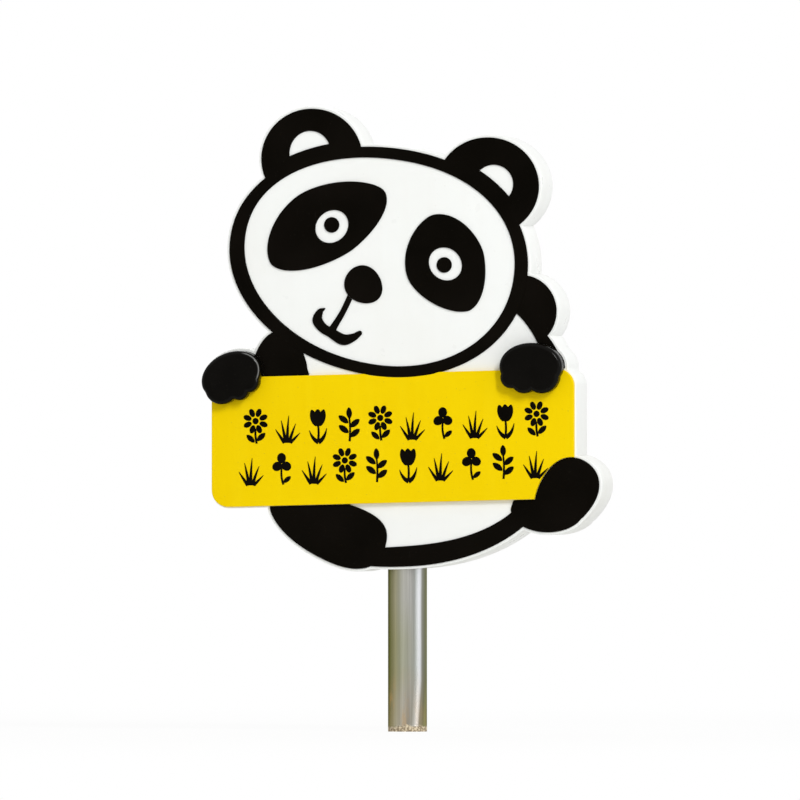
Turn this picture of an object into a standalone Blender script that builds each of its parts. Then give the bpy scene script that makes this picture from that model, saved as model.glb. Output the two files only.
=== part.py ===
"""A lawn sign on a steel post: a cartoon bear cut from sheet on a shallow hollow box, holding a blank panel.

Metres, +Z up. The sign faces -Y, left and right are the viewer's. The origin is on the post's axis at the
ground line.
"""

import math
from typing import NamedTuple

import bmesh
import bpy
import numpy as np
from mathutils import Matrix
from mathutils.geometry import delaunay_2d_cdt

MM = 0.001

# Post: standard stainless tube, planted in the ground and clamped inside the box.
POST_DIAMETER = 38.0 * MM
POST_WALL = 1.5 * MM
POST_SHOWN = 158.2 * MM  # ground line to the underside of the box
POST_INSIDE = 270.0 * MM  # length hidden in the box
POST_BURIED = 200.0 * MM  # length below the ground line

# Sheets, front to back.
PAW_THICKNESS = 12.4 * MM
PAW_ROUNDING = 2.6 * MM
PAW_ROUNDING_STEPS = 3
PANEL_THICKNESS = 5.0 * MM
FIGURE_THICKNESS = 1.0 * MM
FACE_THICKNESS = 3.0 * MM
BAND_WALL = 1.5 * MM
BACK_THICKNESS = 2.4 * MM
GLUE_GAP = 0.3 * MM  # glue line, and the seam between neighbours on one sheet
FRONT_ROOM = 1.2 * MM  # between the saddles and the face plate

# White margins that the box shows around the figure and around the message panel.
FIGURE_BORDER = 2.5 * MM
PANEL_BORDER = 1.3 * MM

# Clamping: a backing plate, two saddles round the post, four bolts through the back.
SADDLE_THICKNESS = 1.5 * MM
SADDLE_WIDTH = 22.0 * MM
SADDLE_EAR = 20.0 * MM
SADDLE_SPACING = 130.0 * MM
SADDLE_RISE = 160.0 * MM  # middle of the two saddles above the box's underside
BACKING_THICKNESS = 3.0 * MM
BACKING_MARGIN = 16.0 * MM
BACKING_CORNER = 8.0 * MM


class Fastener(NamedTuple):
    """Sizes of a button head screw or bolt with a hexagon socket, the socket across its flats."""

    diameter: float
    head_diameter: float
    head_height: float
    socket: float


BOLT = Fastener(6.0 * MM, head_diameter=12.0 * MM, head_height=3.3 * MM, socket=4.0 * MM)
SCREW = Fastener(4.0 * MM, head_diameter=8.0 * MM, head_height=2.4 * MM, socket=2.5 * MM)
BOLT_PAST_NUT = 1.5 * MM
SCREW_LENGTH = 12.0 * MM
NUT_ACROSS_FLATS = 10.0 * MM
NUT_THICKNESS = 5.0 * MM
SPACER_DIAMETER = 10.0 * MM
SPACER_HOLE_SPARE = 2.0 * MM  # depth of the threaded hole past the screw's end
SPACER_INSET = 24.0 * MM  # spacers behind the head and the panel stand this far in from the edge
BELLY_SPACER_X = 58.3 * MM  # the one by the belly, to the right of the body's centre
SOCKET_DEPTH = 0.6  # share of the head's height
HEAD_DOME = [(0.0, 1.0), (0.55, 0.93), (0.88, 0.62), (1.0, 0.2), (1.0, 0.0)]  # shares of radius and height
HOLE_SIDES = 12
SCREW_SIDES = 12

CHORD_ERROR = 0.1 * MM  # how far an outline's straight facets may leave the true curve
DENSE = 720  # points of a curve before they are spaced out evenly
SHORTEST_EDGE = 0.2 * MM
FLAT_ANGLE = math.radians(1)  # faces that turn less than this against each other are one flat face
FAR = 2.0  # a length that reaches past the whole object


class Egg(NamedTuple):
    """An oval: x and z are its centre, counted from the piece that carries it.

    half_length runs along its leaning long way, half_width across. lean is in degrees, anticlockwise.
    fullness 2 is an ellipse, more is squarer, less is more pointed. taper widens the end that lean points at.
    skew slides its far side along the long way, bow bends both ends of the long way over.
    """

    x: float
    z: float
    half_length: float
    half_width: float
    lean: float = 0.0
    fullness: float = 2.0
    taper: float = 0.0
    skew: float = 0.0
    bow: float = 0.0


# Body, and what is counted from the body's centre.
BODY_X = -3.1 * MM
BODY = Egg(0.0, 0.0, 174.0 * MM, 140.1 * MM, lean=1.4, fullness=2.21, skew=0.02, bow=0.009)
BELLY = Egg(-6.7 * MM, 10.1 * MM, 157.6 * MM, 131.6 * MM, lean=1.6, fullness=2.62, taper=-0.04)
BODY_LEFT_END = 86.7 * MM  # left arm, panel and leg cover what lies further left of the body's centre
BODY_LEFT_LEAN = 11.5  # degrees that this end leans to the left going up
LEG = Egg(
    -71.7 * MM, -100.4 * MM, 62.0 * MM, 28.8 * MM, lean=-22.2, fullness=2.6, taper=0.18, skew=-0.13, bow=0.1
)
FOOT = Egg(166.6 * MM, -71.1 * MM, 38.5 * MM, 27.7 * MM, lean=55.5, fullness=2.14, taper=0.12)
HEEL = Egg(148.7 * MM, -85.4 * MM, 36.5 * MM, 21.9 * MM)
SHOULDER = Egg(122.2 * MM, 107.7 * MM, 35.4 * MM, 35.4 * MM)
LEFT_ARM = Egg(-118.9 * MM, 34.6 * MM, 54.3 * MM, 29.4 * MM, lean=90.0)
HEAD = Egg(
    -20.2 * MM, 158.1 * MM, 149.5 * MM, 110.8 * MM, lean=-9.0, fullness=2.07, taper=0.05, skew=0.01, bow=0.013
)

# Counted from the head's centre.
FACE = Egg(0.7 * MM, 0.9 * MM, 135.8 * MM, 100.1 * MM, lean=-9.7, fullness=2.09, taper=0.05, bow=0.03)
LEFT_EAR = Egg(-66.4 * MM, 98.6 * MM, 50.4 * MM, 48.6 * MM)
RIGHT_EAR = Egg(109.2 * MM, 71.4 * MM, 51.0 * MM, 47.5 * MM)
LEFT_PATCH = Egg(
    -52.0 * MM, 33.7 * MM, 66.7 * MM, 37.0 * MM, lean=32.9, fullness=1.74, taper=-0.03, skew=-0.18, bow=-0.08
)
RIGHT_PATCH = Egg(
    69.5 * MM, -4.2 * MM, 50.1 * MM, 39.7 * MM, lean=-67.9, fullness=1.73, taper=-0.08, skew=0.02, bow=0.1
)
NOSE = Egg(-14.4 * MM, -24.7 * MM, 19.8 * MM, 17.7 * MM, lean=-38.7, taper=-0.12)

EAR_HOLE_EDGE = 6.2 * MM  # black left between the head's outer edge and the holes in the ears

# Counted from the centre of the ear or of the eye patch.
LEFT_EAR_HOLE = Egg(-1.6 * MM, 4.8 * MM, 21.0 * MM, 22.4 * MM)
RIGHT_EAR_HOLE = Egg(6.0 * MM, 2.1 * MM, 19.6 * MM, 18.9 * MM)
LEFT_EYE = Egg(5.6 * MM, -1.2 * MM, 17.4 * MM, 15.0 * MM, lean=39.0)
RIGHT_EYE = Egg(-2.5 * MM, 0.1 * MM, 17.2 * MM, 15.3 * MM, lean=-37.0)
LEFT_PUPIL = Egg(-0.2 * MM, 1.5 * MM, 7.6 * MM, 7.6 * MM)
RIGHT_PUPIL = Egg(-1.2 * MM, -1.0 * MM, 7.6 * MM, 7.6 * MM)

# Brush strokes of the mouth: x and z from the nose's centre, and half the stroke's width there.
SMILE = [
    (-39.3 * MM, -22.9 * MM, 0.8 * MM),
    (-43.9 * MM, -26.0 * MM, 3.1 * MM),
    (-46.4 * MM, -34.1 * MM, 5.0 * MM),
    (-41.0 * MM, -41.7 * MM, 4.7 * MM),
    (-33.2 * MM, -46.2 * MM, 4.8 * MM),
    (-21.0 * MM, -53.0 * MM, 5.4 * MM),
    (-11.0 * MM, -51.0 * MM, 3.9 * MM),
    (-4.3 * MM, -46.8 * MM, 2.5 * MM),
]
LIP_LINE = [
    (-11.5 * MM, -6.6 * MM, 3.0 * MM),
    (-21.0 * MM, -26.0 * MM, 2.9 * MM),
    (-29.6 * MM, -39.9 * MM, 3.4 * MM),
    (-33.0 * MM, -46.1 * MM, 4.4 * MM),
]
STROKE_STEPS = 4  # facets between two of a stroke's points
STROKE_END_SIDES = 4

# Message panel: upright sides, top and bottom edges rising a little to the right.
PANEL_X = -5.2 * MM  # from the body's centre
PANEL_Z = -15.5 * MM
PANEL_WIDTH = 361.5 * MM
PANEL_HEIGHT = 126.3 * MM
PANEL_CORNER = 17.0 * MM
PANEL_RISE = 1.45  # degrees

# Paws: a pad and three toes, counted from the panel's top left or top right corner point.
LEFT_PAW = [
    Egg(21.8 * MM, 2.1 * MM, 31.0 * MM, 22.7 * MM, lean=24.3),
    Egg(11.7 * MM, -9.2 * MM, 16.6 * MM, 16.6 * MM),
    Egg(29.4 * MM, -12.3 * MM, 9.5 * MM, 9.5 * MM),
    Egg(38.4 * MM, -3.2 * MM, 11.1 * MM, 11.1 * MM),
]
RIGHT_PAW = [
    Egg(-40.6 * MM, 1.9 * MM, 31.2 * MM, 23.0 * MM),
    Egg(-60.4 * MM, -8.9 * MM, 10.5 * MM, 10.5 * MM),
    Egg(-47.6 * MM, -10.9 * MM, 13.4 * MM, 13.4 * MM),
    Egg(-29.9 * MM, -6.9 * MM, 17.4 * MM, 17.4 * MM),
]

# Colours, roughness and metallic value of each material.
WHITE_PAINT = ("white_paint", (0.86, 0.87, 0.85), 0.35, 0.0)
BLACK_SHEET = ("black_sheet", (0.009, 0.007, 0.005), 0.42, 0.0)
GLOSS_BLACK = ("gloss_black", (0.004, 0.004, 0.004), 0.12, 0.0)
YELLOW_SHEET = ("yellow_sheet", (0.91, 0.66, 0.004), 0.38, 0.0)
BRUSHED_STEEL = ("brushed_steel", (0.52, 0.50, 0.46), 0.32, 1.0)
BRIGHT_STEEL = ("bright_steel", (0.62, 0.62, 0.61), 0.25, 1.0)
ZINC_STEEL = ("zinc_steel", (0.45, 0.46, 0.47), 0.45, 1.0)
GREY_NYLON = ("grey_nylon", (0.38, 0.38, 0.37), 0.55, 0.0)

# Levels along Y, from the post's axis outwards.
POST_RADIUS = POST_DIAMETER / 2
SADDLE_INNER = POST_RADIUS + GLUE_GAP
SADDLE_OUTER = SADDLE_INNER + SADDLE_THICKNESS
FACE_BACK_Y = -(SADDLE_OUTER + FRONT_ROOM)
FACE_FRONT_Y = FACE_BACK_Y - FACE_THICKNESS
BACKING_FRONT_Y = POST_RADIUS + GLUE_GAP
BACKING_BACK_Y = BACKING_FRONT_Y + BACKING_THICKNESS
BACK_INNER_Y = BACKING_BACK_Y + GLUE_GAP
BACK_OUTER_Y = BACK_INNER_Y + BACK_THICKNESS

# Places along X and Z.
BODY_Z = POST_SHOWN + FIGURE_BORDER + BODY.half_width + BODY.bow * BODY.half_length / 2
BODY_CENTRE = (BODY_X, BODY_Z)
HEAD_CENTRE = (BODY_X + HEAD.x, BODY_Z + HEAD.z)
NOSE_CENTRE = (HEAD_CENTRE[0] + NOSE.x, HEAD_CENTRE[1] + NOSE.z)
PANEL_CENTRE = (BODY_X + PANEL_X, BODY_Z + PANEL_Z)
SADDLE_HEIGHTS = [POST_SHOWN + SADDLE_RISE + side * SADDLE_SPACING / 2 for side in (-1, 1)]
BOLT_X = SADDLE_OUTER + SADDLE_EAR / 2


def shifted(egg, origin):
    """The centre of an egg that is counted from origin."""
    return (origin[0] + egg.x, origin[1] + egg.z)


def anticlockwise(loop):
    """The loop turned round if its points run clockwise."""
    x, z = loop.T
    area = np.sum(x * np.roll(z, -1) - np.roll(x, -1) * z)
    return loop if area > 0 else loop[::-1]


def facets_for(radius):
    """How many straight facets keep a circle of this radius within the chord error."""
    turn = 2 * math.acos(1 - CHORD_ERROR / max(radius, 2 * CHORD_ERROR))
    return max(HOLE_SIDES, math.ceil(2 * math.pi / turn))


def evenly(loop, count):
    """The closed loop read again at count points that lie equally far apart along it."""
    closed = np.vstack([loop, loop[:1]])
    run = np.concatenate([[0.0], np.cumsum(np.hypot(*np.diff(closed, axis=0).T))])
    at = np.linspace(0.0, run[-1], count, endpoint=False)
    return np.column_stack([np.interp(at, run, closed[:, 0]), np.interp(at, run, closed[:, 1])])


def grown(loop, by):
    """The anticlockwise loop with every point moved out square to the curve by a distance."""
    ahead = np.roll(loop, -1, axis=0) - loop
    ahead /= np.hypot(*ahead.T)[:, None]
    behind = np.roll(ahead, 1, axis=0)
    normal = np.column_stack([ahead[:, 1] + behind[:, 1], -ahead[:, 0] - behind[:, 0]])
    length = np.hypot(*normal.T)[:, None]
    return loop + normal / length * by * 2 / length


def egg_loop(egg, origin, extra=0.0):
    """Outline of an egg counted from origin, grown by extra all round."""
    turn = np.linspace(0.0, 2 * math.pi, DENSE, endpoint=False)
    power = 2 / egg.fullness
    along = np.sign(np.cos(turn)) * np.abs(np.cos(turn)) ** power
    across = np.sign(np.sin(turn)) * np.abs(np.sin(turn)) ** power * (1 + egg.taper * along)
    straight_z = egg.half_width * across
    x = egg.half_length * along + egg.skew * straight_z
    z = straight_z + egg.bow * egg.half_length * (along**2 - 0.5)
    lean = math.radians(egg.lean)
    centre = shifted(egg, origin)
    loop = np.column_stack([
        centre[0] + x * math.cos(lean) - z * math.sin(lean),
        centre[1] + x * math.sin(lean) + z * math.cos(lean),
    ])
    even = evenly(loop, facets_for(max(egg.half_length, egg.half_width)))
    return grown(even, extra)


def circle_loop(centre, radius, sides=HOLE_SIDES):
    """A round hole's outline, its flats on the stated radius, so that what fits inside stays clear."""
    turn = np.linspace(0.0, 2 * math.pi, sides, endpoint=False)
    reach = radius / math.cos(math.pi / sides)
    return np.column_stack([centre[0] + reach * np.cos(turn), centre[1] + reach * np.sin(turn)])


def clearance_hole(centre, fastener):
    """The clockwise outline of a hole that clears a fastener's shank."""
    return circle_loop(centre, fastener.diameter / 2 + GLUE_GAP)[::-1]


def hexagon_loop(centre, across_flats):
    """A hexagon's outline."""
    return circle_loop(centre, across_flats / 2, 6)


def rounded_box_loop(centre, width, height, corner, rise=0.0):
    """A rectangle with round corners, its sides upright, its top and bottom edges sloped by rise degrees."""
    corner_steps = math.ceil(facets_for(corner) / 4)
    quarter = np.linspace(0.0, math.pi / 2, corner_steps + 1)
    sides = [(1, 1, 0), (-1, 1, 1), (-1, -1, 2), (1, -1, 3)]
    arcs = []
    for side_x, side_z, quarters in sides:
        turn = quarter + quarters * math.pi / 2
        x = side_x * (width / 2 - corner) + corner * np.cos(turn)
        z = side_z * (height / 2 - corner) + corner * np.sin(turn)
        arcs.append(np.column_stack([x, z]))
    loop = np.vstack(arcs)
    loop[:, 1] += loop[:, 0] * math.tan(math.radians(rise))
    return loop + np.array(centre)


def panel_loop(extra=0.0):
    """Outline of the message panel before the head and the foot are cut out of it, grown by extra."""
    return rounded_box_loop(
        PANEL_CENTRE, PANEL_WIDTH + 2 * extra, PANEL_HEIGHT + 2 * extra, PANEL_CORNER + extra, PANEL_RISE
    )


def panel_corner(side):
    """Where the panel's straight top edge and its left (-1) or right (1) side would meet."""
    x = side * PANEL_WIDTH / 2
    rise = x * math.tan(math.radians(PANEL_RISE))
    return (PANEL_CENTRE[0] + x, PANEL_CENTRE[1] + PANEL_HEIGHT / 2 + rise)


def beside_panel_loop(side):
    """Everything above (1) or below (-1) the panel's sloped edge, a glue gap away from it."""
    slope = math.tan(math.radians(PANEL_RISE))
    edge_z = PANEL_CENTRE[1] + side * (PANEL_HEIGHT / 2 + GLUE_GAP)
    far_z = edge_z + side * FAR
    loop = np.array([
        (PANEL_CENTRE[0] - FAR, edge_z - FAR * slope),
        (PANEL_CENTRE[0] + FAR, edge_z + FAR * slope),
        (PANEL_CENTRE[0] + FAR, far_z),
        (PANEL_CENTRE[0] - FAR, far_z),
    ])
    return anticlockwise(loop)


def right_side_loop():
    """Everything to the right of where the left arm, the panel and the left leg take over from the body."""
    left = BODY_X - BODY_LEFT_END
    lean = FAR * math.tan(math.radians(BODY_LEFT_LEAN))
    low, high = BODY_Z - FAR, BODY_Z + FAR
    return np.array([(left + lean, low), (left + 2 * FAR, low), (left + 2 * FAR, high), (left - lean, high)])


def stroke_loop(points, origin):
    """Outline of a brush stroke: a smooth curve through the points, as wide as each says, with round ends."""
    knots = np.array(points)
    ends = np.vstack([2 * knots[0] - knots[1], knots, 2 * knots[-1] - knots[-2]])
    share = np.linspace(0.0, 1.0, STROKE_STEPS, endpoint=False)[:, None]
    pieces = []
    for before, start, end, after in zip(ends, ends[1:], ends[2:], ends[3:]):
        slope = end - before
        bend = 2 * before - 5 * start + 4 * end - after
        twist = 3 * start - before - 3 * end + after
        pieces.append(start + (slope * share + bend * share**2 + twist * share**3) / 2)
    line = np.vstack([*pieces, knots[-1:]])
    middle, half = line[:, :2] + np.array(origin), line[:, 2:]
    ahead = np.gradient(middle, axis=0)
    ahead /= np.hypot(*ahead.T)[:, None]
    left = np.column_stack([-ahead[:, 1], ahead[:, 0]])
    turn = np.linspace(0.0, math.pi, STROKE_END_SIDES + 1)[1:-1, None]
    start_cap = middle[0] + half[0] * (np.cos(turn) * left[0] - np.sin(turn) * ahead[0])
    end_cap = middle[-1] + half[-1] * (-np.cos(turn) * left[-1] + np.sin(turn) * ahead[-1])
    loop = np.vstack([(middle + half * left)[::-1], start_cap, middle - half * left, end_cap])
    return anticlockwise(loop)


def chained(edges):
    """Closed loops of point numbers from edges that each run one way round them."""
    after = {}
    for start, end in edges:
        after.setdefault(start, []).append(end)
    loops = []
    while after:
        first = next(iter(after))
        loop = [first]
        here = after[first].pop()
        while here != first:
            loop.append(here)
            here = after[here].pop()
        loops.append(loop)
        after = {start: ends for start, ends in after.items() if ends}
    return loops


def without_short_edges(loop):
    """The loop without the points that lie closer than the shortest edge to the one before."""
    kept = [loop[0]]
    for point in loop[1:]:
        if np.hypot(*(point - kept[-1])) > SHORTEST_EDGE:
            kept.append(point)
    if np.hypot(*(kept[-1] - kept[0])) <= SHORTEST_EDGE:
        kept.pop()
    return np.array(kept)


def outline_where(shapes, rule):
    """Outlines of the ground that rule accepts.

    shapes names closed anticlockwise loops. rule gets the names of those that cover a spot, and says whether
    the spot belongs to the piece. The outer loop comes back anticlockwise and each hole clockwise.
    """
    names = list(shapes)
    points, faces = [], []
    for name in names:
        start = len(points)
        points.extend(tuple(point) for point in shapes[name])
        faces.append(list(range(start, len(points))))
    verts, _, triangles, _, _, covers = delaunay_2d_cdt(points, [], faces, 1, 1e-8, True)
    edges = set()
    for triangle, cover in zip(triangles, covers):
        if not rule({names[number] for number in cover}):
            continue
        for start, end in zip(triangle, triangle[1:] + triangle[:1]):
            if (end, start) in edges:
                edges.remove((end, start))
            else:
                edges.add((start, end))
    verts = np.array([tuple(vert) for vert in verts])
    loops = [without_short_edges(verts[loop]) for loop in chained(sorted(edges))]
    return [loop for loop in loops if len(loop) > 2]


def figure_shapes(extra=0.0, panel_extra=0.0):
    """Every shape of the figure and the panel, grown by extra, the panel by panel_extra."""
    left_corner, right_corner = panel_corner(-1), panel_corner(1)
    shapes = {
        "body": egg_loop(BODY, BODY_CENTRE, extra),
        "leg": egg_loop(LEG, BODY_CENTRE, extra),
        "foot": egg_loop(FOOT, BODY_CENTRE, extra),
        "heel": egg_loop(HEEL, BODY_CENTRE, extra),
        "shoulder": egg_loop(SHOULDER, BODY_CENTRE, extra),
        "left_arm": egg_loop(LEFT_ARM, BODY_CENTRE, extra),
        "head": egg_loop(HEAD, BODY_CENTRE, extra),
        "left_ear": egg_loop(LEFT_EAR, HEAD_CENTRE, extra),
        "right_ear": egg_loop(RIGHT_EAR, HEAD_CENTRE, extra),
        "panel": panel_loop(panel_extra),
        "right_side": right_side_loop(),
    }
    for number, toe in enumerate(LEFT_PAW):
        shapes[f"left_paw_{number}"] = egg_loop(toe, left_corner, extra)
    for number, toe in enumerate(RIGHT_PAW):
        shapes[f"right_paw_{number}"] = egg_loop(toe, right_corner, extra)
    return shapes


def box_outline(inset=0.0):
    """The box's outer edge less an inset: all that the figure and the panel cover, and a border round it."""

    def inside(cover):
        return bool(cover - {"body", "right_side"}) or {"body", "right_side"} <= cover

    return outline_where(figure_shapes(FIGURE_BORDER - inset, PANEL_BORDER - inset), inside)


def paw_shapes(paw, side, extra=0.0):
    """The pad and toes of a paw, named, at the panel's left (-1) or right (1) top corner."""
    return {f"paw_{number}": egg_loop(toe, panel_corner(side), extra) for number, toe in enumerate(paw)}


def has_paw(cover):
    """Whether a paw's pad or toe is among the shapes that cover a spot."""
    return any(name.startswith("paw_") for name in cover)


def material_of(recipe):
    """The material of that name, made once."""
    name, colour, roughness, metallic = recipe
    material = bpy.data.materials.get(name)
    if material is None:
        material = bpy.data.materials.new(name)
        material.use_nodes = True
        shader = material.node_tree.nodes["Principled BSDF"]
        shader.inputs["Base Color"].default_value = (*colour, 1.0)
        shader.inputs["Roughness"].default_value = roughness
        shader.inputs["Metallic"].default_value = metallic
        material.diffuse_color = (*colour, 1.0)
    return material


def extruded(name, loops, thickness, recipe, location=(0.0, 0.0, 0.0), upright=True):
    """A flat outline, holes among its loops, thickened evenly both ways from its middle.

    Upright it lies in the XZ plane at the Y of location, otherwise in the XY plane at its Z.
    """
    curve = bpy.data.curves.new(name, "CURVE")
    curve.dimensions = "2D"
    curve.fill_mode = "BOTH"
    curve.extrude = thickness / 2
    for loop in loops:
        spline = curve.splines.new("POLY")
        spline.points.add(len(loop) - 1)
        flat = np.zeros((len(loop), 4))
        flat[:, :2] = loop
        flat[:, 3] = 1.0
        spline.points.foreach_set("co", flat.ravel())
        spline.use_cyclic_u = True
    curve.materials.append(material_of(recipe))
    piece = bpy.data.objects.new(name, curve)
    piece.location = location
    if upright:
        piece.rotation_euler = (math.pi / 2, 0.0, 0.0)
    PARTS.objects.link(piece)
    return piece


def sheet(name, loops, front_y, thickness, recipe):
    """An upright sheet whose front face lies at front_y."""
    return extruded(name, loops, thickness, recipe, (0.0, front_y + thickness / 2, 0.0))


def as_mesh(piece):
    """The curve piece as a mesh object in the same place, its caps welded to its walls."""
    graph = bpy.context.evaluated_depsgraph_get()
    mesh = bpy.data.meshes.new_from_object(piece.evaluated_get(graph))
    work = bmesh.new()
    work.from_mesh(mesh)
    bmesh.ops.remove_doubles(work, verts=work.verts, dist=0.01 * MM)
    work.to_mesh(mesh)
    work.free()
    name = piece.name
    solid = bpy.data.objects.new(name + "_mesh", mesh)
    solid.matrix_world = piece.matrix_world
    PARTS.objects.link(solid)
    bpy.data.objects.remove(piece)
    solid.name = name
    return solid


def cut(piece, name, cutter_mesh):
    """Takes the cutter's mesh, in world places, out of the piece."""
    cutter = bpy.data.objects.new(name, cutter_mesh)
    cutter.hide_render = True
    cutter.display_type = "WIRE"
    CUTTERS.objects.link(cutter)
    boolean = piece.modifiers.new(name, "BOOLEAN")
    boolean.operation = "DIFFERENCE"
    boolean.solver = "EXACT"
    boolean.object = cutter


def rod_mesh(name, radius, length, sides, centre, along_y):
    """A cylinder's mesh about centre, its flats on the stated radius, along Y or along Z."""
    work = bmesh.new()
    reach = radius / math.cos(math.pi / sides)
    bmesh.ops.create_cone(work, cap_ends=True, segments=sides, radius1=reach, radius2=reach, depth=length)
    if along_y:
        bmesh.ops.rotate(work, verts=work.verts, matrix=Matrix.Rotation(math.pi / 2, 3, "X"))
    bmesh.ops.translate(work, verts=work.verts, vec=centre)
    mesh = bpy.data.meshes.new(name)
    work.to_mesh(mesh)
    work.free()
    return mesh


def turned(name, profile, sides, recipe, location):
    """A turned piece with its axis along Y. profile runs down its outer side: (radius, distance to the back)."""
    points = [(radius, 0.0, height) for radius, height in profile]
    edges = [(number, number + 1) for number in range(len(points) - 1)]
    mesh = bpy.data.meshes.new(name)
    mesh.from_pydata(points, edges, [])
    mesh.materials.append(material_of(recipe))
    piece = bpy.data.objects.new(name, mesh)
    piece.location = location
    piece.rotation_euler = (-math.pi / 2, 0.0, 0.0)
    screw = piece.modifiers.new("turn", "SCREW")
    screw.steps = sides
    screw.render_steps = sides
    screw.use_merge_vertices = True
    screw.merge_threshold = 0.01 * MM
    PARTS.objects.link(piece)
    return piece


def button_head(name, location, fastener, length):
    """A screw or bolt whose head sits on the back at location and whose shank points to the front."""
    radius = fastener.head_diameter / 2
    shank = fastener.diameter / 2
    dome = [(share * radius, rise * fastener.head_height) for share, rise in HEAD_DOME]
    profile = [*dome, (shank, 0.0), (shank, -length), (0.0, -length)]
    piece = turned(name, profile, SCREW_SIDES, BRIGHT_STEEL, location)
    top = (location[0], location[1] + fastener.head_height, location[2])
    length_cut = 2 * SOCKET_DEPTH * fastener.head_height
    cut(piece, name + "_socket", rod_mesh(name + "_socket", fastener.socket / 2, length_cut, 6, top, True))


def post():
    """The tube, standing on the origin's axis from below the ground to inside the box."""
    outside = circle_loop((0.0, 0.0), POST_RADIUS, facets_for(POST_RADIUS))
    inside = circle_loop((0.0, 0.0), POST_RADIUS - POST_WALL, facets_for(POST_RADIUS))
    low, high = -POST_BURIED, POST_SHOWN + POST_INSIDE
    loops = [outside, inside[::-1]]
    extruded("post", loops, high - low, BRUSHED_STEEL, (0.0, 0.0, (low + high) / 2), upright=False)


def side_band():
    """The strip bent round the box, with the hole that the post enters by."""
    front = FACE_BACK_Y + GLUE_GAP
    loops = [*box_outline(), *[loop[::-1] for loop in box_outline(BAND_WALL)]]
    band = as_mesh(sheet("side_band", loops, front, BACK_OUTER_Y - front, WHITE_PAINT))
    hole = POST_RADIUS / math.cos(math.pi / facets_for(POST_RADIUS)) + GLUE_GAP  # clear of the tube's corners
    length = 2 * POST_INSIDE
    centre = (0.0, 0.0, POST_SHOWN + SADDLE_RISE - POST_INSIDE)
    cut(band, "post_hole", rod_mesh("post_hole", hole, length, facets_for(hole), centre, False))


def screw_places():
    """Names and places of the spacers and their screws, behind the middle or inside the edge of a shape."""
    places = {
        "left_ear": shifted(LEFT_EAR, HEAD_CENTRE),
        "right_ear": shifted(RIGHT_EAR, HEAD_CENTRE),
        "foot": shifted(FOOT, BODY_CENTRE),
        "leg": shifted(LEG, BODY_CENTRE),
        "belly": (BODY_X + BELLY_SPACER_X, POST_SHOWN + 2 * SPACER_INSET),
    }
    lean = math.radians(HEAD.lean)
    for name, side in (("head_left", -1), ("head_right", 1)):
        reach = side * (HEAD.half_length - SPACER_INSET)
        places[name] = (HEAD_CENTRE[0] + reach * math.cos(lean), HEAD_CENTRE[1] + reach * math.sin(lean))
    slope = math.tan(math.radians(PANEL_RISE))
    for name, side_x, side_z in (("top_left", -1, 1), ("bottom_left", -1, -1), ("top_right", 1, 1)):
        x = side_x * (PANEL_WIDTH / 2 - SPACER_INSET)
        z = side_z * (PANEL_HEIGHT / 2 - SPACER_INSET) + x * slope
        places[name] = (PANEL_CENTRE[0] + x, PANEL_CENTRE[1] + z)
    return places


def bolt_places():
    """Names and places of the four bolts that hold the saddles."""
    return {
        f"{level}_{side}": (sign * BOLT_X, height)
        for level, height in zip(("lower", "upper"), SADDLE_HEIGHTS)
        for side, sign in (("left", -1), ("right", 1))
    }


def box():
    """The hollow box: face plate in front, side band round it, back panel let into the band."""
    sheet("face_plate", box_outline(), FACE_FRONT_Y, FACE_THICKNESS, WHITE_PAINT)
    side_band()
    screw_holes = [clearance_hole(place, SCREW) for place in screw_places().values()]
    bolt_holes = [clearance_hole(place, BOLT) for place in bolt_places().values()]
    loops = [*box_outline(BAND_WALL + GLUE_GAP), *screw_holes, *bolt_holes]
    sheet("back_panel", loops, BACK_INNER_Y, BACK_THICKNESS, WHITE_PAINT)


def spacers_and_screws():
    """The spacers between face plate and back panel, and the screws that hold the back panel to them."""
    front, back = FACE_BACK_Y + GLUE_GAP, BACK_INNER_Y - GLUE_GAP
    length = back - front
    hole_depth = SCREW_LENGTH - BACK_THICKNESS + SPACER_HOLE_SPARE
    hole = SCREW.diameter / 2 + GLUE_GAP
    profile = [
        (0.0, length - hole_depth),
        (hole, length - hole_depth),
        (hole, length),
        (SPACER_DIAMETER / 2, length),
        (SPACER_DIAMETER / 2, 0.0),
        (0.0, 0.0),
    ]
    for name, (x, z) in screw_places().items():
        turned(f"spacer_{name}", profile, SCREW_SIDES, GREY_NYLON, (x, front, z))
        button_head(f"screw_{name}", (x, BACK_OUTER_Y + GLUE_GAP, z), SCREW, SCREW_LENGTH)


def backing_plate():
    """The plate between post and back panel that the saddles are bolted to."""
    width = 2 * (SADDLE_OUTER + SADDLE_EAR)
    height = SADDLE_SPACING + SADDLE_WIDTH + 2 * BACKING_MARGIN
    outline = rounded_box_loop((0.0, POST_SHOWN + SADDLE_RISE), width, height, BACKING_CORNER)
    holes = [clearance_hole(place, BOLT) for place in bolt_places().values()]
    sheet("backing_plate", [outline, *holes], BACKING_FRONT_Y, BACKING_THICKNESS, ZINC_STEEL)


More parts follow.
